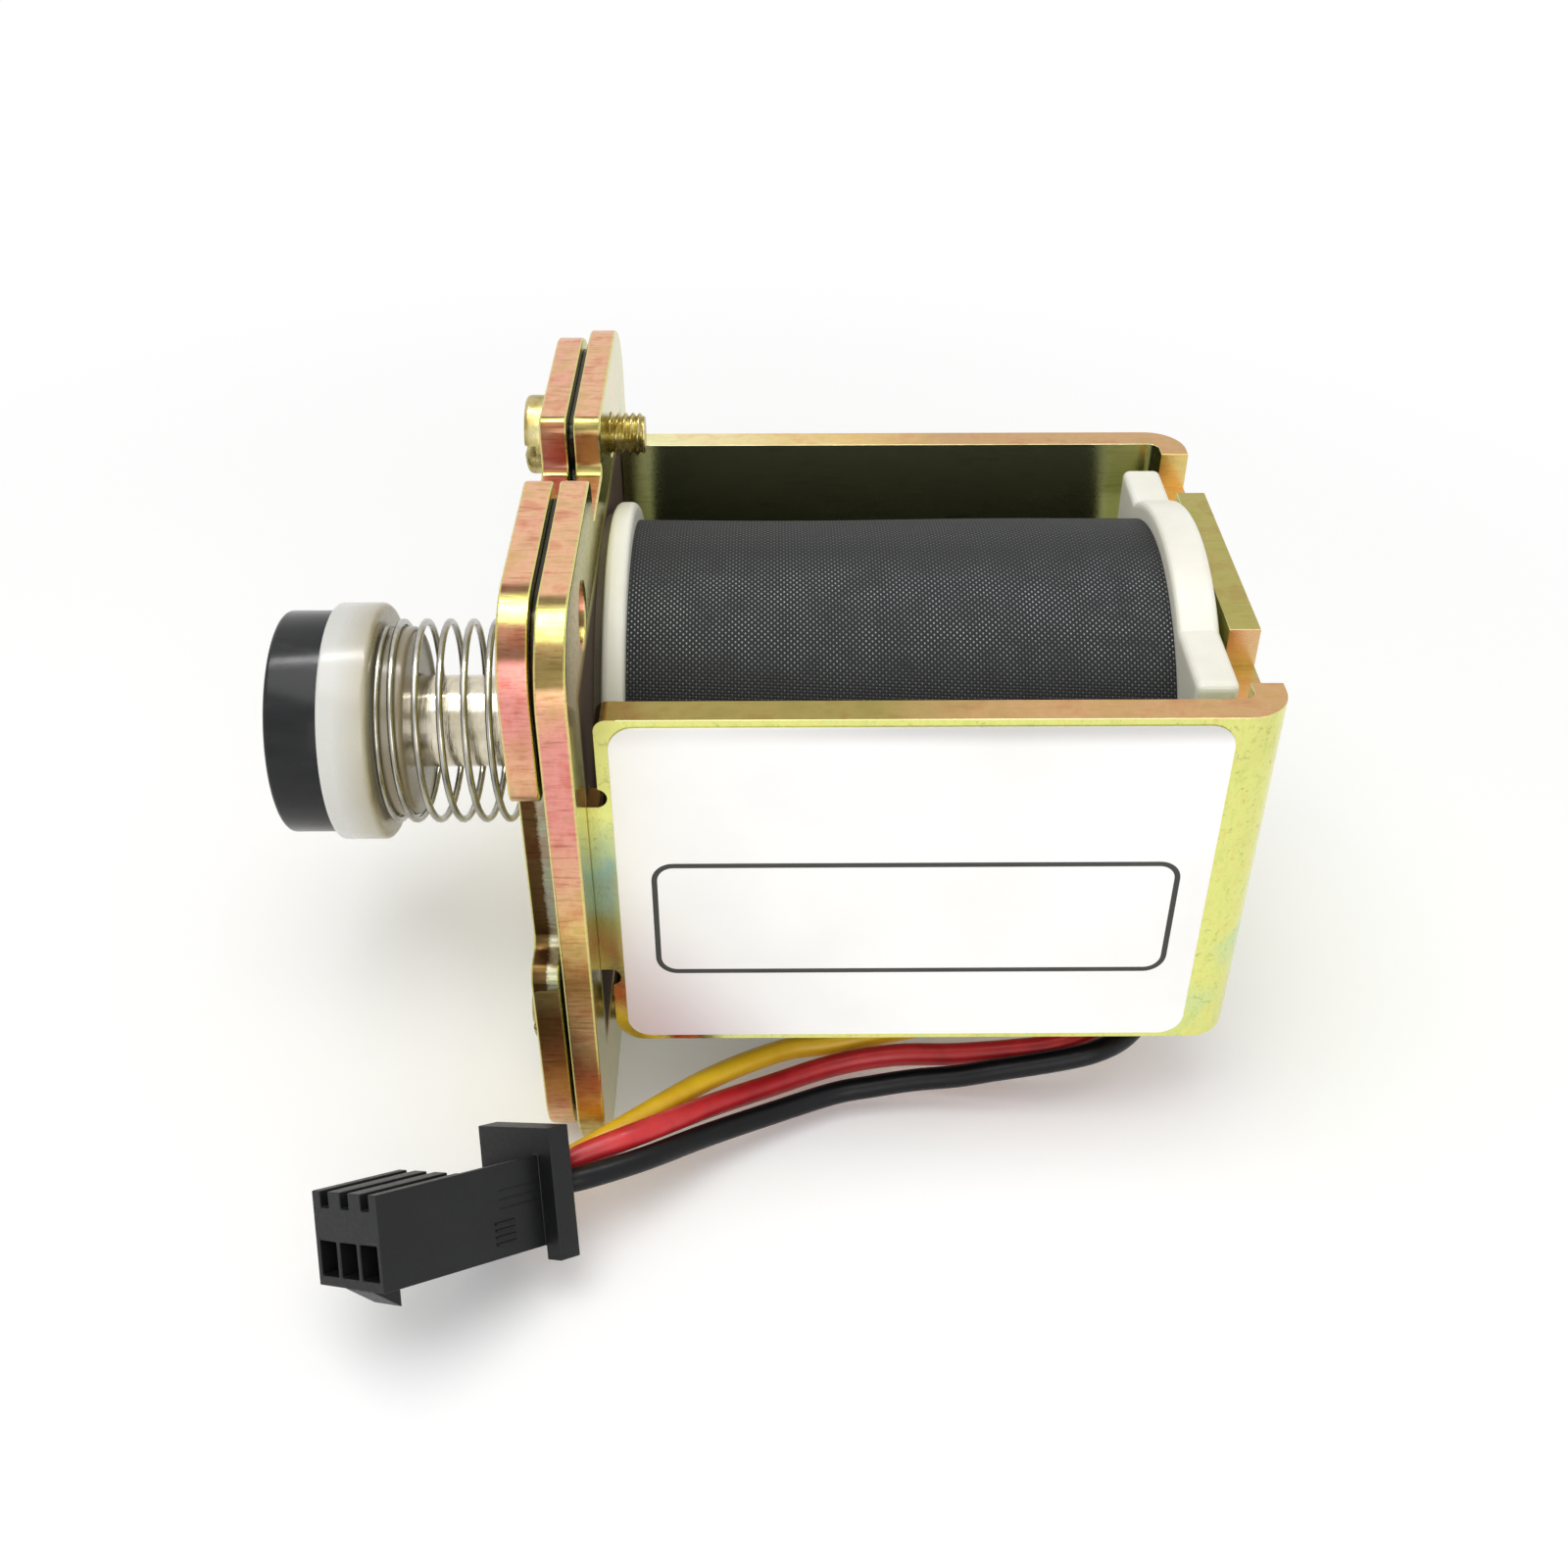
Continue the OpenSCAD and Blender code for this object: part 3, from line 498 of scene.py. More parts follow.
def labelFilm(name, s):
    material, tree, shader = startMaterial(name, {"Specular IOR Level": 0.4})
    spot = places(tree)
    across = axes(tree, spot)
    color = ramp(tree, noise(tree, spot, *s["cloud"]), s["film"])
    # painted reflection, pinkish grey, in the lower left corner
    corner = calc(tree, "ADD", across[0], times(tree, across[2], s["agedSlope"]))
    aged = fit(tree, corner, *s["agedReach"], s["agedShare"], 0.0, True)
    color = mix(tree, aged, color, tint(s["aged"]))
    edge = fit(tree, across[2], *s["topGreyReach"], 0.0, s["topGreyShare"], True)
    run = fit(tree, across[0], *s["topGreyRun"])
    color = mix(tree, times(tree, edge, run), color, tint(s["topGrey"]))
    marks = noise(tree, spot, *s["marks"])
    surface(tree, shader, color, marks, marks, s["rough"], s["relief"])
    return material


finishes = {
    "outer": platedSteel("platedOuter", outerTones, waist=waistTones),
    "inner": platedSteel("platedInner", innerTones, shadedNook=shadedNookTones),
    "yoke": platedSteel("platedYoke", yokeTones, stripTones, endTones),
    "screw": plainFinish("platedScrew", screwKind, (0.2, 0.36), "8a783c", "b8a96e", "c8be90"),
    "nickel": plainFinish("nickelPlunger", turnedKind, (0.1, 0.24), "c8bea4", "efe8d6"),
    "spring": plainFinish("springWire", metalKind, (0.16, 0.28), "8f8d86", "b9b7b0"),
    "iron": plainFinish("turnedIron", turnedKind, (0.25, 0.4), "8a8680", "aaa69e"),
    "brass": plainFinish("drawnBrass", turnedKind, (0.2, 0.34), "b8955a", "d6b878"),
    "copper": plainFinish("enamelledCopper", turnedKind, (0.22, 0.36), "a85a34", "c87848"),
    "nylon": plainFinish("creamNylon", nylonKind, (0.36, 0.5), "eae7d6", "f3f1e4", "f7f6ea"),
    "cap": capPlastic("capPlastic", capTones),
    "plug": plainFinish("plugNylon", plugKind, (0.38, 0.52), "0b0b0c", "101112", "17181a"),
    "fibre": plainFinish("pressedFibre", plasticKind, (0.6, 0.8), "4a4430", "5a523a", "6a6046"),
    "film": plainFinish("amberFilm", plasticKind, (0.25, 0.35), "b88a2c", "caa040", "d8b45a"),
    "gasket": plainFinish("gasketSheet", rubberKind, (0.16, 0.26), "0e0f10", "17181a", "242628"),
    "rubber": plainFinish("sealRubber", rubberKind, (0.16, 0.26), "0e0f10", "17181a", "242628"),
    "tape": wovenTape("wovenTape", weaveSet),
    "label": labelFilm("labelFilm", labelTones),
    "print": plainFinish("framePrint", plasticKind, (0.4, 0.5), "2a2b28", "33342f", "3c3d38"),
    "yellow": plainFinish("yellowPvc", pvcKind, (0.3, 0.44), "e0b01a", "f2c826", "f8d848"),
    "red": plainFinish("redPvc", pvcKind, (0.3, 0.44), "a81820", "cc2a2e", "d83c3c"),
    "black": plainFinish("blackPvc", darkPvcKind, (0.3, 0.44), "08090b", "0d0e11", "121418"),
}
print("stage: finishes made,", len(finishes))


# Mesh helpers

roundingSet = {"merge": 0.001, "flat": 0.5, "sharp": 32, "flatWeight": 80}


def addPiece(name, mesh, finish, body, slot, *nodes):
    piece = linked(name, mesh)
    if finish and not mesh.materials:
        mesh.materials.append(finishes[finish])
    piece["plan"] = [body, slot, *nodes]
    return piece


def settle(piece):  # ride and replaced nodes, once the mesh is final
    body, slot, *nodes = piece["plan"]
    del piece["plan"]
    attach(piece, body)
    if nodes:
        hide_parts(*nodes)
    return piece


def smoothed(mesh, sharp=40):
    mesh.shade_smooth()
    mesh.set_sharp_from_angle(angle=math.radians(sharp))


def bake(piece):  # modifiers become a plain mesh
    bpy.context.view_layer.update()
    graph = bpy.context.evaluated_depsgraph_get()
    made = bpy.data.meshes.new_from_object(
        piece.evaluated_get(graph), preserve_all_data_layers=True, depsgraph=graph)
    piece.modifiers.clear()
    piece.data = made
    made.name = piece.name
    return piece


@contextmanager
def edited(mesh):
    work = bmesh.new()
    work.from_mesh(mesh)
    yield work
    work.to_mesh(mesh)
    work.free()


def cleaned(mesh):  # doubles merged, faces turned outwards
    with edited(mesh) as work:
        bmesh.ops.remove_doubles(work, verts=work.verts, dist=tiny)
        bmesh.ops.recalc_face_normals(work, faces=work.faces)
    return mesh


def plainMesh(name, points, edges=(), faces=()):
    mesh = bpy.data.meshes.new(name)
    mesh.from_pydata(points, edges, faces)
    return mesh


def meshFrom(name, points, faces):
    return cleaned(plainMesh(name, points, faces=faces))


def skin(rings, count, closed=True, wrapped=False):  # quads between neighbouring rings of points
    quads = []
    for k in range(rings if wrapped else rings - 1):
        here, there = k * count, (k + 1) % rings * count
        for i in range(count if closed else count - 1):
            j = (i + 1) % count
            quads.append((here + i, here + j, there + j, there + i))
    return quads


def polar(x, radius, angle):  # a point around the plunger's axis
    return x * mm, radius * mm * math.cos(angle), radius * mm * math.sin(angle)


def mergedCopy(nodeName, pieceName, s=roundingSet):
    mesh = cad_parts[nodeName].data.copy()
    mesh.name = pieceName
    mesh.materials.clear()
    limit = math.radians(s["flat"])
    with edited(mesh) as work:
        bmesh.ops.remove_doubles(work, verts=work.verts, dist=s["merge"] * mm)
        bmesh.ops.dissolve_limit(work, angle_limit=limit, verts=work.verts, edges=work.edges)
    return mesh


def weighSharp(mesh, picks, cut, s=roundingSet):  # bevel weight on the sharp outer edges that the rule picks
    with edited(mesh) as work:
        if cut:
            whole = [*work.verts, *work.edges, *work.faces]
            bmesh.ops.bisect_plane(work, geom=whole, plane_co=(cut * mm, 0, 0), plane_no=(1, 0, 0), dist=tiny)
        layer = work.edges.layers.float.new("bevel_weight_edge")
        for edge in work.edges:
            if edge.is_contiguous and edge.calc_face_angle() > math.radians(s["sharp"]):
                picked = edge.is_convex and picks(*(v.co / mm for v in edge.verts))
                edge[layer] = float(picked)
                edge.smooth = picked


def softEdges(nodeName, pieceName, finish, slot, width, segments=3, picks=None, cut=None, s=roundingSet):
    piece = addPiece(pieceName, mergedCopy(nodeName, pieceName), finish, "valve_body", slot, nodeName)
    if picks:
        weighSharp(piece.data, picks, cut)
    rounding = piece.modifiers.new("edgeRounding", "BEVEL")
    rounding.width = width * mm
    rounding.segments = segments
    rounding.limit_method = "WEIGHT" if picks else "ANGLE"
    rounding.angle_limit = math.radians(s["sharp"])
    rounding.miter_outer = "MITER_ARC"
    evened = piece.modifiers.new("flatFaces", "WEIGHTED_NORMAL")
    evened.weight = s["flatWeight"]
    evened.keep_sharp = bool(picks)
    return bake(piece)


def markSheared(piece, rule):  # rule gives the sheared share, then a special tone and its share
    mesh = piece.data
    sheared = mesh.attributes.new("sheared", "FLOAT", "CORNER")
    special = mesh.attributes.new("special", "FLOAT_COLOR", "CORNER")
    for corner in mesh.loops:
        place = mesh.vertices[corner.vertex_index].co / mm
        share, name, part = rule(mesh.corner_normals[corner.index].vector, place)
        sheared.data[corner.index].value = max(0.0, min(1.0, share))
        special.data[corner.index].color = (*tone(name)[:3], part)
    return piece


def turnedSize(node):  # first and last x and the radius, in millimetres
    low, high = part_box(node)
    return low.x / mm, high.x / mm, (high.z - low.z) / 2 / mm


def turnedMesh(name, profile, steps=96):  # (x, radius) points, turned about the plunger's axis
    points = [polar(x, r, math.tau * i / steps) for i in range(steps) for x, r in profile]
    return meshFrom(name, points, skin(steps, len(profile), closed=False, wrapped=True))


def rounded(corner, before, after, radius, steps=5):  # arc points between two straight stretches
    toward, away = (before - corner).normalized(), (after - corner).normalized()
    half = toward.angle(away) / 2
    reach = radius / math.tan(half)
    centre = corner + (toward + away).normalized() * radius / math.sin(half)
    start, end = corner + toward * reach - centre, corner + away * reach - centre
    full = start.angle_signed(end)
    return [centre + Matrix.Rotation(-full * i / steps, 2) @ start for i in range(steps + 1)]


def roundedProfile(corners):  # (x, radius, rounding) corners to profile points
    spots = [Vector(c[:2]) for c in corners]
    profile = []
    for i, spot in enumerate(spots):
        rounding = corners[i][2]
        if rounding and 0 < i < len(corners) - 1:
            profile += rounded(spot, spots[i - 1], spots[i + 1], rounding)
        else:
            profile.append(spot)
    return [(p[0], p[1]) for p in profile]


# Geometry trees

def startTree(name, inputs):
    tree = bpy.data.node_groups.new(name, "GeometryNodeTree")
    tree.interface.new_socket("Geometry", in_out="INPUT", socket_type="NodeSocketGeometry")
    keys = {}
    for label, kind in inputs:
        keys[label] = tree.interface.new_socket(label, in_out="INPUT", socket_type=kind).identifier
    tree.interface.new_socket("Geometry", in_out="OUTPUT", socket_type="NodeSocketGeometry")
    return tree, keys, tree.nodes.new("NodeGroupInput").outputs, tree.nodes.new("NodeGroupOutput").inputs


def endTree(tree, geometry, material, target):
    real = addNode(tree, "GeometryNodeRealizeInstances", {0: geometry}).outputs[0]
    dressed = addNode(tree, "GeometryNodeSetMaterial", {"Geometry": real, "Material": material})
    tree.links.new(dressed.outputs[0], target[0])


def setOn(tree, points, shape, **more):
    wires = {"Points": points, "Instance": shape, **more}
    return addNode(tree, "GeometryNodeInstanceOnPoints", wires).outputs[0]


def applyTree(piece, tree, keys, **values):
    modifier = piece.modifiers.new(tree.name, "NODES")
    modifier.node_group = tree
    for label, value in values.items():
        modifier[keys[label]] = value
    bake(piece)
    smoothed(piece.data)


def sweptWire(piece, diameter, sides, finish):  # a round wire along the piece's own line
    tree, keys, given, target = startTree(
        piece.name + "Sweep", [("wireRadius", "NodeSocketFloat"), ("wireSides", "NodeSocketInt")])
    line = addNode(tree, "GeometryNodeMeshToCurve", {0: given["Geometry"]}).outputs[0]
    wires = {"Resolution": given["wireSides"], "Radius": given["wireRadius"]}
    ring = addNode(tree, "GeometryNodeCurvePrimitiveCircle", wires, mode="RADIUS").outputs[0]
    wires = {"Curve": line, "Profile Curve": ring, "Fill Caps": True}
    endTree(tree, addNode(tree, "GeometryNodeCurveToMesh", wires).outputs[0], finishes[finish], target)
    applyTree(piece, tree, keys, wireRadius=diameter / 2 * mm, wireSides=sides)


def lineMesh(name, points):
    return plainMesh(name, points, [(i, i + 1) for i in range(len(points) - 1)])


# Leads, from the far flange to the plug

leadSet = {
    "diameter": 1.6,
    "sides": 16,
    "steps": 5,
    "routes": {
        "yellow": [
            (-3.5, -28.3, -17.3), (-2.2, -27.1, -18.2), (0.3, -25.8, -18.3), (3, -24.9, -17.4),
            (5.5, -23.5, -16.8), (8.1, -20.9, -17.3), (10.8, -18.2, -18), (13.8, -15.8, -18.7),
            (16.7, -14.2, -19.1), (19.7, -13.7, -19.1), (23.8, -13, -18.7), (27.9, -12.5, -18.1),
            (31.8, -12, -17.4), (35.6, -11.2, -16.8), (39.2, -10.3, -16.2), (41.9, -9.4, -15),
            (42.8, -9.2, -13), (42.8, -9.2, -10.4),
        ],
        "red": [
            (-2, -29.3, -16.3), (-0.7, -28, -17.2), (1.2, -27.2, -16.9), (3.1, -26.4, -16.2),
            (6.9, -24.6, -16), (10.9, -20.7, -18), (15.2, -17.7, -19.2), (19.7, -15.7, -19.3),
            (24, -15.2, -18.8), (28.4, -15.7, -18.2), (32.5, -16.1, -17.4), (35.3, -16.2, -16.8),
            (37.9, -15.3, -16.4), (40.4, -13.2, -16.1), (42.2, -11.6, -14.9), (42.8, -11.2, -13),
            (42.8, -11.2, -10.4),
        ],
        "black": [
            (-0.5, -30.2, -15.3), (0.9, -29, -16.1), (3.2, -28.4, -16.1), (6.9, -26.3, -16.8),
            (10.9, -22.9, -18.4), (15.2, -20.3, -19.2), (19.6, -18.3, -19.4), (22.4, -17.9, -19.1),
            (25.3, -17.7, -18.7), (28.4, -17.8, -18.2), (31, -17.9, -17.5), (35.1, -17.9, -16.6),
            (37.9, -17.6, -16), (40.2, -16.1, -16), (42, -14.3, -15), (42.8, -13.2, -13),
            (42.8, -13.2, -10.4),
        ],
    },
}


def smoothLine(route, steps):  # a smooth line through every point of the route
    spots = [Vector(p) * mm for p in route]
    spots = [2 * spots[0] - spots[1], *spots, 2 * spots[-1] - spots[-2]]
    line = []
    for a, b, c, d in zip(spots, spots[1:], spots[2:], spots[3:]):
        for i in range(steps):
            t = i / steps
            bend = (2 * a - 5 * b + 4 * c - d) * t * t + (3 * b - a - 3 * c + d) * t ** 3
            line.append((2 * b + (c - a) * t + bend) / 2)
    return [*line, spots[-2]]


def makeLead(name, s):
    line = smoothLine(s["routes"][name], s["steps"])[::-1]
    mesh = lineMesh(name + "Lead", line)
    piece = addPiece(name + "Lead", mesh, None, "valve_body", name + "_pvc", "lead_" + name)
    sweptWire(piece, s["diameter"], s["sides"], name)
    settle(piece)
    length = sum((b - a).length for a, b in zip(line, line[1:]))
    mouth = Vector((line[0].x, line[0].y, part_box("bobbin")[0].z))
    return piece, line, mouth, length


leads = {name: makeLead(name, leadSet) for name in leadSet["routes"]}
print("stage: leads laid,", {name: round(made[3] / mm, 1) for name, made in leads.items()})


# Flange plates, gasket and yoke

sheetSet = {
    "plateRound": 0.22, "yokeRound": 0.55, "gasketRound": 0.06, "near": 0.05,
    "freeLength": 4, "endWall": 2.1, "bottom": 1, "notchReach": 15.6, "notchShare": 0.4, "backWalls": -6.0,
    # parts of a normal
    "bent": 0.2, "facing": 0.5, "inward": 0.6, "level": 0.95, "flat": 0.97,
    # special tones and their shares; the rim tone and the top line are painted highlights on rounded edges,
    # the wall tones and the free end tone are painted shade
    "rim": ("lime", 0.5), "outerWall": ("brown", 0.75), "innerWall": ("moss", 0.75),
    "freeEnd": ("shade", 0.8), "notchSide": ("rose", 0.5), "backNotch": ("gold", 0.5),
    "inside": ("celery", 0.75), "topHighlight": ("pale", 0.75), "worn": ("tan", 0.6),
}


def shearedShare(across, gain=1.3, less=0.15):  # from the part of a normal that lies in the sheet
    return gain * across - less


def makePlates(s):
    for side in ("outer", "inner"):

        def rule(normal, place):
            share = shearedShare(1 - abs(normal.x))
            # rounded rims: painted highlight
            if s["bent"] < abs(normal.x) < s["flat"]:
                return share, *s["rim"]
            # front-facing walls of the notch and the rear ear: painted shade
            if normal.y < -s["facing"] and place.y > s["backWalls"]:
                return share, *s[side + "Wall"]
            return share, s["rim"][0], 0.0

        plate = softEdges(side + "_plate", side + "Plate", side, "plated_steel", s["plateRound"])
        settle(markSheared(plate, rule))
    settle(softEdges("plate_gasket", "plateGasket", "gasket", "gasket_rubber", s["gasketRound"], segments=2))


def makeYoke(s):
    low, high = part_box("yoke")
    freeEnd = low.x / mm + s["freeLength"]
    endWall = high.x / mm - s["endWall"]
    bottom = low.z / mm + s["bottom"]

    def rule(normal, place):
        share = shearedShare(abs(normal.z))
        # free end: painted shade
        if place.x < freeEnd and normal.x < -s["facing"]:
            return 1.0, *s["freeEnd"]
        if place.x > endWall and abs(place.y) < s["notchReach"] and abs(normal.y) > s["facing"]:
            return s["notchShare"], *s["notchSide" if place.y < 0 else "backNotch"]
        if place.x < endWall and place.y * normal.y < 0 and abs(normal.y) > s["inward"]:
            return share, *s["inside"]
        # rounded top edges: painted highlight
        if s["bent"] < normal.z < s["level"]:
            return share, *s["topHighlight"]
        if place.z < bottom and abs(normal.z) > s["bent"]:
            return share, *s["worn"]
        return share, s["inside"][0], 0.0

    def rim(a, b):  # top and bottom edges, past the free end with its tab and slots
        return min(abs(a.z), abs(b.z)) > high.z / mm - s["near"] and min(a.x, b.x) > freeEnd - s["near"]

    yoke = softEdges(
        "yoke", "coilYoke", "yoke", "plated_steel", s["yokeRound"], segments=4, picks=rim, cut=freeEnd)
    settle(markSheared(yoke, rule))


makePlates(sheetSet)
makeYoke(sheetSet)
print("stage: plates and yoke dressed")


# Label, with a plain frame line

labelSet = {
    "frameLeft": 7.8, "frameRight": 41.2, "frameLow": -7.0, "frameHigh": 2.4, "corner": 1.4, "line": 0.36,
    "proud": 0.012, "arcSteps": 8, "edgeRound": 0.05,
}


def roundRect(left, right, low, high, radius, steps):
    spots = []
    for k, (x, z) in enumerate(((right, high), (left, high), (left, low), (right, low))):
        centre = (x + radius * (1, -1)[x > (left + right) / 2], z + radius * (1, -1)[z > (low + high) / 2])
        for i in range(steps + 1):
            angle = math.pi / 2 * (k + i / steps)
            spots.append((centre[0] + radius * math.cos(angle), centre[1] + radius * math.sin(angle)))
    return spots


def makeLabel(s):
    settle(softEdges("label", "yokeLabel", "label", "label_film", s["edgeRound"], segments=2))
    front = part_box("label")[0].y
    outline = (s["frameLeft"], s["frameRight"], s["frameLow"], s["frameHigh"])
    inset = (s["line"], -s["line"], s["line"], -s["line"])
    outer = roundRect(*outline, s["corner"], s["arcSteps"])
    inner = roundRect(*[a + b for a, b in zip(outline, inset)], s["corner"] - s["line"], s["arcSteps"])
    proud = s["proud"] * mm
    rings = ((outer, -proud), (inner, -proud), (inner, proud), (outer, proud))
    points = [(x * mm, front + lift, z * mm) for ring, lift in rings for x, z in ring]
    mesh = meshFrom("labelFrame", points, skin(len(rings), len(outer), wrapped=True))
    settle(addPiece("labelFrame", mesh, "print", "valve_body", "label_film"))


makeLabel(labelSet)
print("stage: label made")


# Bobbin and coil

bobbinSet = {
    "edgeRound": 0.5, "rimFrom": 14.7, "shoulderLift": 2.2, "near": 0.02,
    "flangeFaces": (4.6, 6.1, 41.4, 44.1),
}


def makeBobbin(s):
    def rim(a, b):  # edges of the flanges, without the holes in them
        middle = (a + b) / 2
        reach = max(math.hypot(middle.y, middle.z), abs(middle.z) + s["shoulderLift"])
        onFaces = all(min(abs(v.x - x) for x in s["flangeFaces"]) < s["near"] for v in (a, b))
        return onFaces and reach > s["rimFrom"]

    settle(softEdges("bobbin", "coilBobbin", "nylon", "bobbin_nylon", s["edgeRound"], segments=4, picks=rim))


tapeSet = {
    "around": 192, "along": 48, "lap": 0.2, "lapAngle": 235, "lapRun": 6, "thickness": 0.55,
    "sag": 0.05, "waves": ((3, 5, 1.0), (7, -9, 0.6)),
}


def makeTape(s):  # one wrap that ends on its own start, closed by a wall inside
    first, last, outside = turnedSize("coil_tape")
    points, cloth = [], []
    steps = s["along"]
    runs = [0.0, *(j / steps for j in range(steps + 1)), 1.0]  # along the tape, with the wall's ends
    for i in range(s["around"] + 1):
        share = i / s["around"]
        for j, run in enumerate(runs):
            x = first + (last - first) * run
            angle = math.radians(s["lapAngle"]) + math.tau * share + math.radians(s["lapRun"]) * (run - 0.5)
            wave = sum(part * (math.sin(k * angle + m * run) - 1) for k, m, part in s["waves"])
            drop = s["lap"] * (1 - share) - s["sag"] * wave if 0 < j <= steps + 1 else s["thickness"]
            points.append(polar(x, outside - drop, angle))
            cloth.append((outside * math.tau * share, x))
    count = len(runs)
    lap = s["around"] * count
    faces = skin(s["around"] + 1, count, closed=False)
    faces += [(lap + j, lap + j + 1, j + 1, j) for j in range(1, steps + 1)]
    faces += [(i, i + count, i + 2 * count - 1, i + count - 1) for i in range(0, lap, count)]
    mesh = plainMesh("coilTape", points, faces=faces)
    layer = mesh.uv_layers.new(name="cloth")
    for corner in mesh.loops:
        layer.data[corner.index].uv = cloth[corner.vertex_index]
    smoothed(cleaned(mesh))
    settle(addPiece("coilTape", mesh, "tape", "valve_body", "coil_tape", "coil_tape"))


makeBobbin(bobbinSet)
makeTape(tapeSet)
print("stage: coil taped")


# Plunger, cap, sealing disc and return spring

sealSet = {
    "capDepth": 3.4, "capEdge": 0.25, "capBack": 0.45, "hub": 6.8, "hubFoot": 0.15, "hubEdge": 0.4,
    "bore": 3.35, "boreDepth": 1.7, "boreEdge": 0.2, "discEdge": 0.35, "discFoot": 0.1,
    "dimple": 1.6, "dimpleDepth": 0.35, "dimpleSlope": 0.35, "dimpleEdge": 0.2,
    "neck": 3.3, "neckEnd": 0.925, "neckTip": 0.2, "neckFoot": 0.3, "bodyEdge": 0.3,
}


def turnedPiece(name, corners, finish, slot, node):
    mesh = turnedMesh(name, roundedProfile(corners))
    smoothed(mesh)
    settle(addPiece(name, mesh, finish, "plunger", slot, node))


def makeSeal(s):
    capFront, hubEnd, capRadius = turnedSize("seal_cap")
    capBack = capFront + s["capDepth"]
    turnedPiece("sealCap", [
        (capFront, 0, 0), (capFront, capRadius, s["capEdge"]), (capBack, capRadius, s["capBack"]),
        (capBack, s["hub"], s["hubFoot"]), (hubEnd, s["hub"], s["hubEdge"]),
        (hubEnd, s["bore"], s["boreEdge"]), (capBack - s["boreDepth"], s["bore"], 0),
    ], "cap", "cap_plastic", "seal_cap")
    discFront, _, discRadius = turnedSize("seal_disc")
    dimple = discFront + s["dimpleDepth"]
    turnedPiece("sealDisc", [
        (dimple, 0, 0), (dimple, s["dimple"], s["dimpleEdge"]),
        (discFront, s["dimple"] + s["dimpleSlope"], s["dimpleEdge"]), (discFront, discRadius, s["discEdge"]),
        (capFront, discRadius, s["discFoot"]), (capFront, 0, 0),
    ], "rubber", "seal_rubber", "seal_disc")
    neckFront, bodyEnd, bodyRadius = turnedSize("plunger")
    turnedPiece("plungerBody", [
        (neckFront, 0, 0), (neckFront, s["neck"], s["neckTip"]), (s["neckEnd"], s["neck"], s["neckFoot"]),
        (s["neckEnd"], bodyRadius, s["bodyEdge"]), (bodyEnd, bodyRadius, s["bodyEdge"]), (bodyEnd, 0, 0),
    ], "nickel", "plunger_nickel", "plunger")


springSet = {
    "wire": 0.5, "openTurns": 7.25, "closedTurns": 0.75, "seatTurns": 1.0, "closedPitch": 0.53,
    "wireStart": 80, "steps": 40, "sides": 12,
}


def makeSpring(s):
    low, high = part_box("return_spring")
    first, last = low.x / mm + s["wire"] / 2, high.x / mm - s["wire"] / 2
    radius = (high.z - low.z) / 2 / mm - s["wire"] / 2
    ends = (s["closedTurns"] + s["seatTurns"]) * s["closedPitch"]
    openPitch = (last - first - ends) / s["openTurns"]
    turns = s["closedTurns"] + s["openTurns"] + s["seatTurns"]
    points = []
    for i in range(int(turns * s["steps"]) + 1):
        t = i / s["steps"]
        opened = max(0, min(t - s["closedTurns"], s["openTurns"]))
        x = first + openPitch * opened + s["closedPitch"] * (t - opened)
        points.append(polar(x, radius, math.tau * t + math.radians(s["wireStart"])))
    mesh = lineMesh("returnSpring", points)
    piece = addPiece("returnSpring", mesh, None, "valve_body", "spring_steel", "return_spring")
    sweptWire(piece, s["wire"], s["sides"], "spring")
    settle(piece)
    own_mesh(piece)


makeSeal(sealSet)
makeSpring(springSet)
print("stage: plunger, seal and spring made")


# Screws with rolled threads, one mesh set at both places

screwSet = {
    "thread": 3.0, "pitch": 0.5, "threadDepth": 0.28, "threadStart": 3.0, "slotWidth": 0.8, "slotDepth": 0.8,
    "headEdge": 0.35, "headFoot": 0.12, "headSteps": 48, "runOut": 0.1, "y": 11.2, "z": 17.0,
    "around": 40, "perPitch": 8, "crest": 1.15, "tipCrest": 0.25,
}


def slottedHead(s, front, radius):
    profile = roundedProfile([
        (front, 0, 0), (front, radius, s["headEdge"]), (0, radius, s["headFoot"]), (0, s["thread"] / 2, 0),
        (s["threadStart"], s["thread"] / 2, 0), (s["threadStart"] + s["runOut"], 0, 0),
    ])
    head = linked("screwHead", turnedMesh("screwHead", profile, s["headSteps"]))
    half = s["slotWidth"] / 2 * mm
    reach = 2 * radius * mm
    ends = (front * mm - reach, (front + s["slotDepth"]) * mm)
    corners = [(x, y, z) for x in ends for y in (-reach, reach) for z in (-half, half)]
    sides = [(0, 1, 3, 2), (4, 6, 7, 5), (0, 4, 5, 1), (2, 3, 7, 6), (0, 2, 6, 4), (1, 5, 7, 3)]
    cutter = linked("slotCutter", meshFrom("slotCutter", corners, sides))
    slot = head.modifiers.new("slot", "BOOLEAN")
    slot.object = cutter
    slot.solver = "EXACT"
    bake(head)
    bpy.data.objects.remove(cutter)
    return head


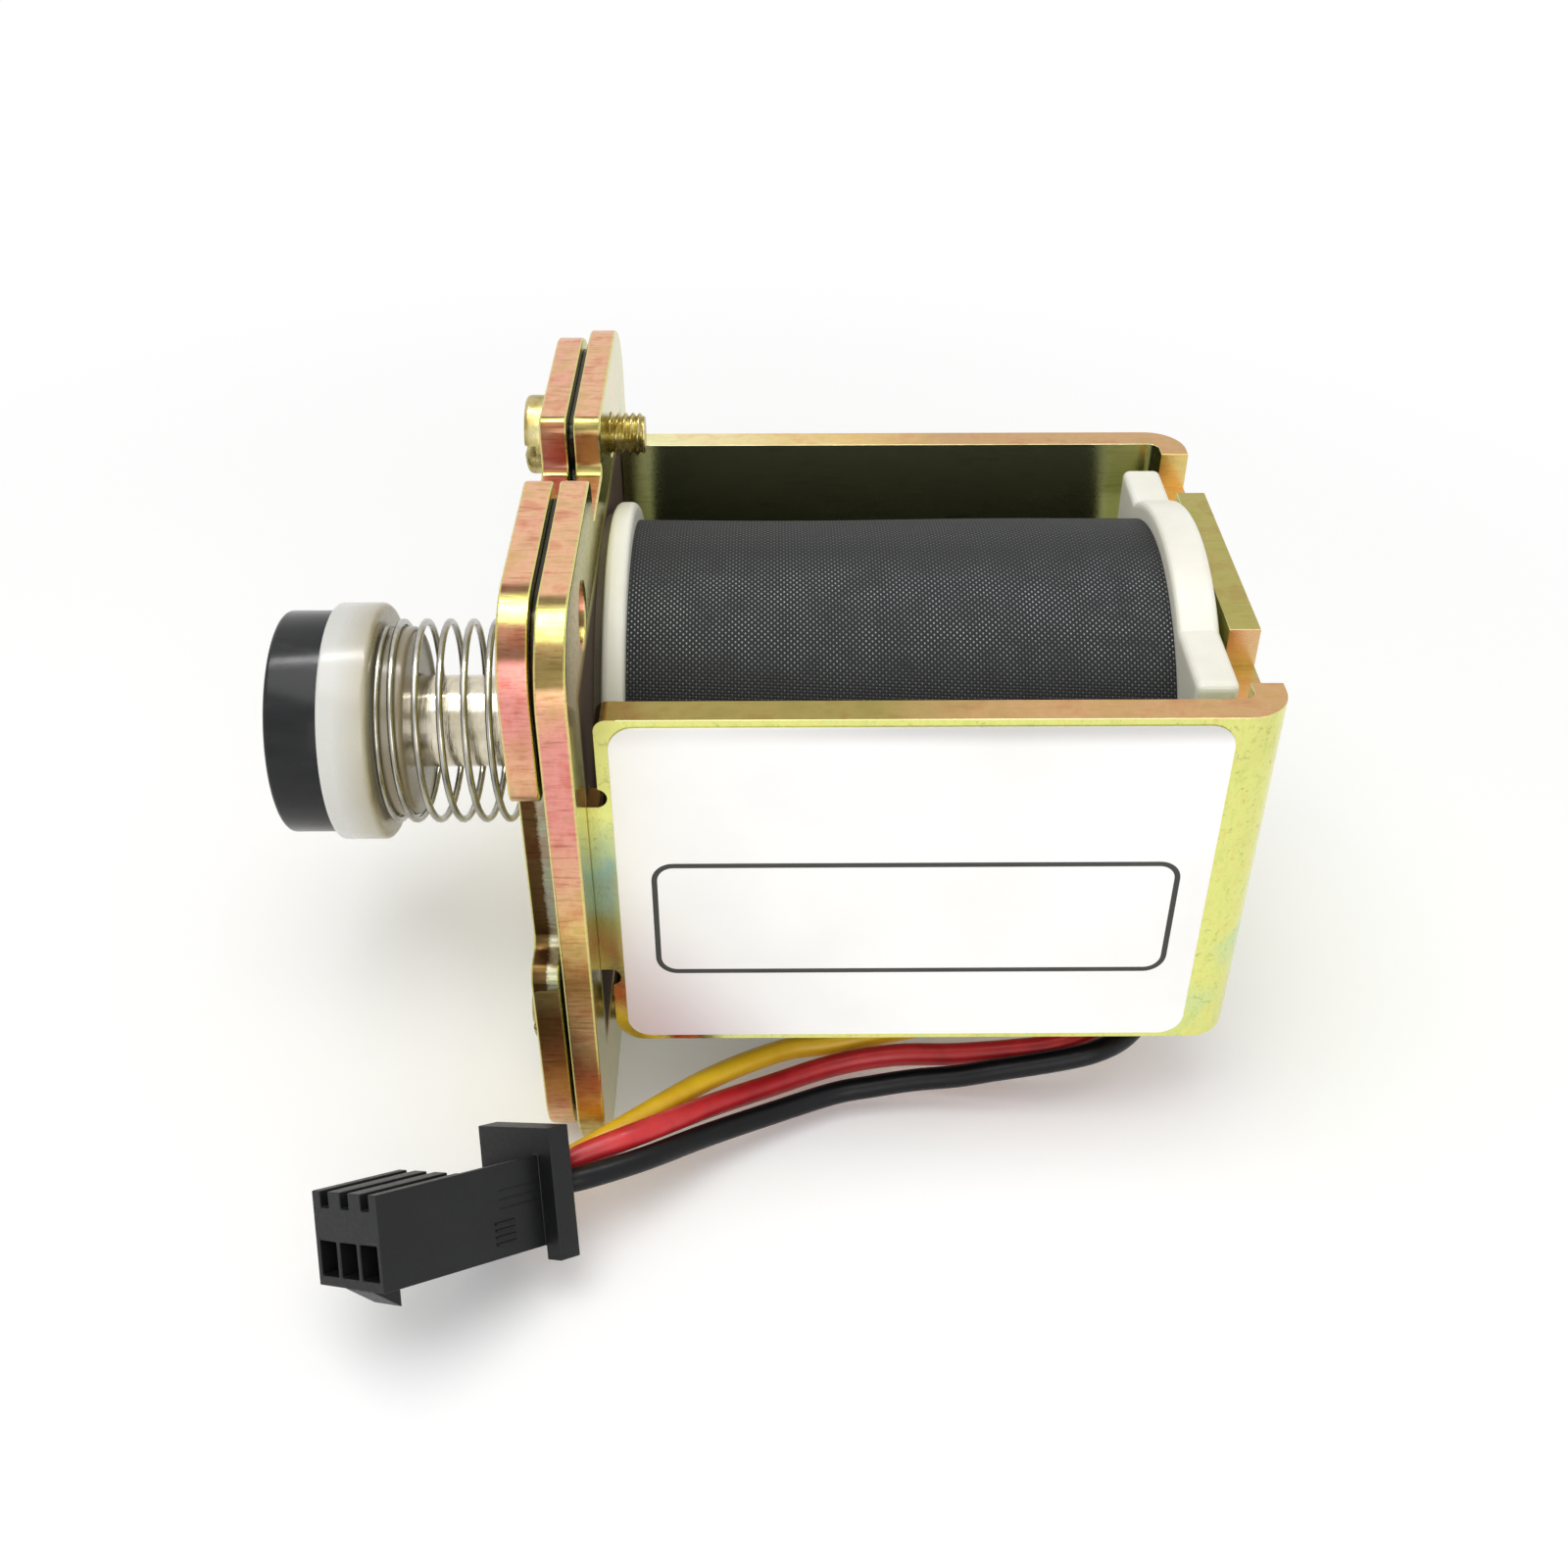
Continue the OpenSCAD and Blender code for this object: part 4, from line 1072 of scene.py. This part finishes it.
def addThread(mesh, s, tip):
    length = tip - s["threadStart"]
    rows = int(length / s["pitch"] * s["perPitch"]) + 1
    points = []
    for j in range(rows):
        x = s["threadStart"] + length * j / (rows - 1)
        fade = min(1.0, (tip - x) / s["pitch"] + s["tipCrest"])
        for i in range(s["around"]):
            share = i / s["around"]
            phase = (x / s["pitch"] + share) % 1.0
            ridge = min(1.0, s["crest"] * (1 - abs(2 * phase - 1)))
            radius = s["thread"] / 2 - s["threadDepth"] * (1 - ridge * fade)
            points.append(polar(x, radius, math.tau * share))
    ends = [tuple(range(s["around"])), tuple(range(len(points) - s["around"], len(points)))]
    thread = plainMesh("screwThread", points, faces=skin(rows, s["around"]) + ends)
    with edited(mesh) as work:
        work.from_mesh(thread)
        bmesh.ops.recalc_face_normals(work, faces=work.faces)
    smoothed(mesh)


def makeScrews(s):
    low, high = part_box("plate_screws")
    screw = slottedHead(s, low.x / mm, (high.y - low.y) / 2 / mm - s["y"])
    addThread(screw.data, s, high.x / mm)
    spots = [(0, s["y"] * mm, s["z"] * mm), (0, -s["y"] * mm, -s["z"] * mm)]
    mesh = plainMesh("plateScrews", spots)
    piece = addPiece("plateScrews", mesh, None, "valve_body", "screw_steel", "plate_screws")
    tree, keys, given, target = startTree(
        "screwPlaces", [("screw", "NodeSocketObject"), ("turn", "NodeSocketFloat")])
    shape = addNode(tree, "GeometryNodeObjectInfo", {"Object": given["screw"]}).outputs["Geometry"]
    order = addNode(tree, "GeometryNodeInputIndex").outputs[0]
    turn = addNode(tree, "ShaderNodeCombineXYZ", {0: times(tree, order, given["turn"])}).outputs[0]
    endTree(tree, setOn(tree, given["Geometry"], shape, Rotation=turn), finishes["screw"], target)
    applyTree(piece, tree, keys, screw=screw, turn=math.pi)
    bpy.data.objects.remove(screw)
    settle(piece)


makeScrews(screwSet)
print("stage: screws set")


# Plug, with grip ribs on its closed side

plugSet = {
    "at": (-9.6, -38.6, -13.9), "turn": (-33, 25, 42), "edgeRound": 0.12, "width": 6.65, "sunk": 0.02,
    "ribStart": 8.4, "ribLow": 0.9, "ribPitch": 0.42, "ribs": 4, "ribSize": (1.5, 0.12, 0.16),
    "lineStart": 8.9, "lineLow": 3.0, "linePitch": 0.55, "lines": 3, "lineSize": (3.2, 0.05, 0.09),
}


def ribMesh(name, size, sunk):  # a low bar with a rounded crown, lying on its back along X
    length, height, width = (v * mm for v in size)
    highlight = (0.5, 1.1, math.pi - 1.1, math.pi - 0.5)
    section = [(-width / 2, sunk * mm)]
    section += [(-width / 2 * math.cos(a), -height * math.sin(a)) for a in highlight]
    section += [(width / 2, sunk * mm)]
    count = len(section)
    points = [(x, y, z) for x in (0, length) for z, y in section]
    ends = [tuple(range(count)), tuple(range(count, 2 * count))]
    return meshFrom(name, points, skin(2, count) + ends)


def ribRow(s, name, kind):
    bar = linked(name + "Bar", ribMesh(name + "Bar", s[kind + "Size"], s["sunk"]))
    mesh = plainMesh(name, [(s[kind + "Start"] * mm, -s["width"] / 2 * mm, s[kind + "Low"] * mm)])
    piece = addPiece(name, mesh, None, "valve_body", "plug_plastic")
    tree, keys, given, target = startTree(
        name + "Row", [("bar", "NodeSocketObject"), ("count", "NodeSocketInt"), ("pitch", "NodeSocketFloat")])
    shape = addNode(tree, "GeometryNodeObjectInfo", {"Object": given["bar"]}).outputs["Geometry"]
    step = addNode(tree, "ShaderNodeCombineXYZ", {2: given["pitch"]}).outputs[0]
    wires = {"Count": given["count"], "Offset": step}
    row = addNode(tree, "GeometryNodeMeshLine", wires, mode="OFFSET").outputs[0]
    placed = setOn(tree, given["Geometry"], setOn(tree, row, shape))
    endTree(tree, placed, finishes["plug"], target)
    applyTree(piece, tree, keys, bar=bar, count=s[kind + "s"], pitch=s[kind + "Pitch"] * mm)
    bpy.data.objects.remove(bar)
    turn = Euler([math.radians(a) for a in s["turn"]]).to_matrix().to_4x4()
    piece.data.transform(Matrix.Translation(Vector(s["at"]) * mm) @ turn)
    return settle(piece)


def makePlug(s):
    housing = softEdges("plug_housing", "plugHousing", "plug", "plug_plastic", s["edgeRound"], segments=2)
    settle(housing)
    ribs = ribRow(s, "plugRibs", "rib")
    lines = ribRow(s, "plugLines", "line")
    return [housing, ribs, lines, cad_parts["plug_contacts"]]


plugPieces = makePlug(plugSet)


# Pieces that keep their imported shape

keptFinishes = {
    "coil_washer": "fibre", "pull_in_winding": "copper", "winding_film": "film", "hold_winding": "copper",
    "guide_sleeve": "brass", "sleeve_ring": "rubber", "core_shim": "brass", "terminal_pins": "brass",
    "plug_contacts": "brass",
}
coreSet = {"edgeRound": 0.2}


def dressKept(finishOf):
    for node, finish in finishOf.items():
        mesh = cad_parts[node].data
        mesh.materials.clear()
        mesh.materials.append(finishes[finish])


dressKept(keptFinishes)
settle(softEdges("fixed_core", "fixedCore", "iron", "core_steel", coreSet["edgeRound"]))
print("stage: inner pieces dressed")


# Floor, world and lamps

stageSet = {
    "floorSize": 1200, "floor": "f6f6f6", "glow": 0.14, "shadowReach": 62, "whiteFrom": 170, "ambient": 0.6,
    "lamps": {  # place, aim, size, power, and whether it lights matt surfaces
        "topLamp": ((-40, -60, 320), (15, 0, 0), (260, 260), 0.45, True),
        "stripLamp": ((0, 50, 300), (0, 0, 0), (420, 10), 0.55, False),
        "frontLamp": ((60, -330, 120), (20, -10, 0), (220, 220), 0.28, True),
    },
}


def makeFloor(s):
    half = s["floorSize"] / 2 * mm
    level = cadBox[0].z
    corners = [(-half, -half, level), (half, -half, level), (half, half, level), (-half, half, level)]
    mesh = plainMesh("floor", corners, faces=[(0, 1, 2, 3)])
    material, tree, shader = startMaterial("paleFloor", {"Roughness": 0.8, "Specular IOR Level": 0.1})
    shader.inputs["Emission Color"].default_value = (1, 1, 1, 1)
    reach = addNode(tree, "ShaderNodeVectorMath", {0: places(tree)}, operation="LENGTH").outputs["Value"]
    far = fit(tree, reach, s["shadowReach"], s["whiteFrom"], 0.0, 1.0, True)
    tree.links.new(mix(tree, far, tint(s["floor"]), (0, 0, 0, 1)), shader.inputs["Base Color"])
    tree.links.new(fit(tree, far, 0.0, 1.0, s["glow"], 1.0), shader.inputs["Emission Strength"])
    mesh.materials.append(material)
    linked("floor", mesh)


def makeWorld(s):
    world = bpy.data.worlds.new("studio")
    bpy.context.scene.world = world
    world.use_nodes = True
    tree = world.node_tree
    path = tree.nodes.new("ShaderNodeLightPath").outputs
    seen = calc(tree, "ADD", path["Is Camera Ray"], path["Is Glossy Ray"])
    seen = calc(tree, "ADD", seen, path["Is Transmission Ray"], clamp=True)
    strength = fit(tree, seen, 0.0, 1.0, s["ambient"], 1.0)
    back = tree.nodes["Background"]
    back.inputs["Color"].default_value = (1, 1, 1, 1)
    tree.links.new(strength, back.inputs["Strength"])


def makeLamps(s):
    for name, (place, aim, size, power, matt) in s["lamps"].items():
        data = bpy.data.lights.new(name, "AREA")
        data.shape = "RECTANGLE"
        data.size, data.size_y = [v * mm for v in size]
        data.energy = power
        light = linked(name, data)
        light.location = Vector(place) * mm
        toward = Vector(aim) * mm - light.location
        light.rotation_euler = toward.to_track_quat("-Z", "Y").to_euler()
        light.visible_diffuse = matt


makeFloor(stageSet)
makeWorld(stageSet)
makeLamps(stageSet)
bpy.context.scene.view_settings.view_transform = "Standard"
print("stage: floor, world and lamps set")
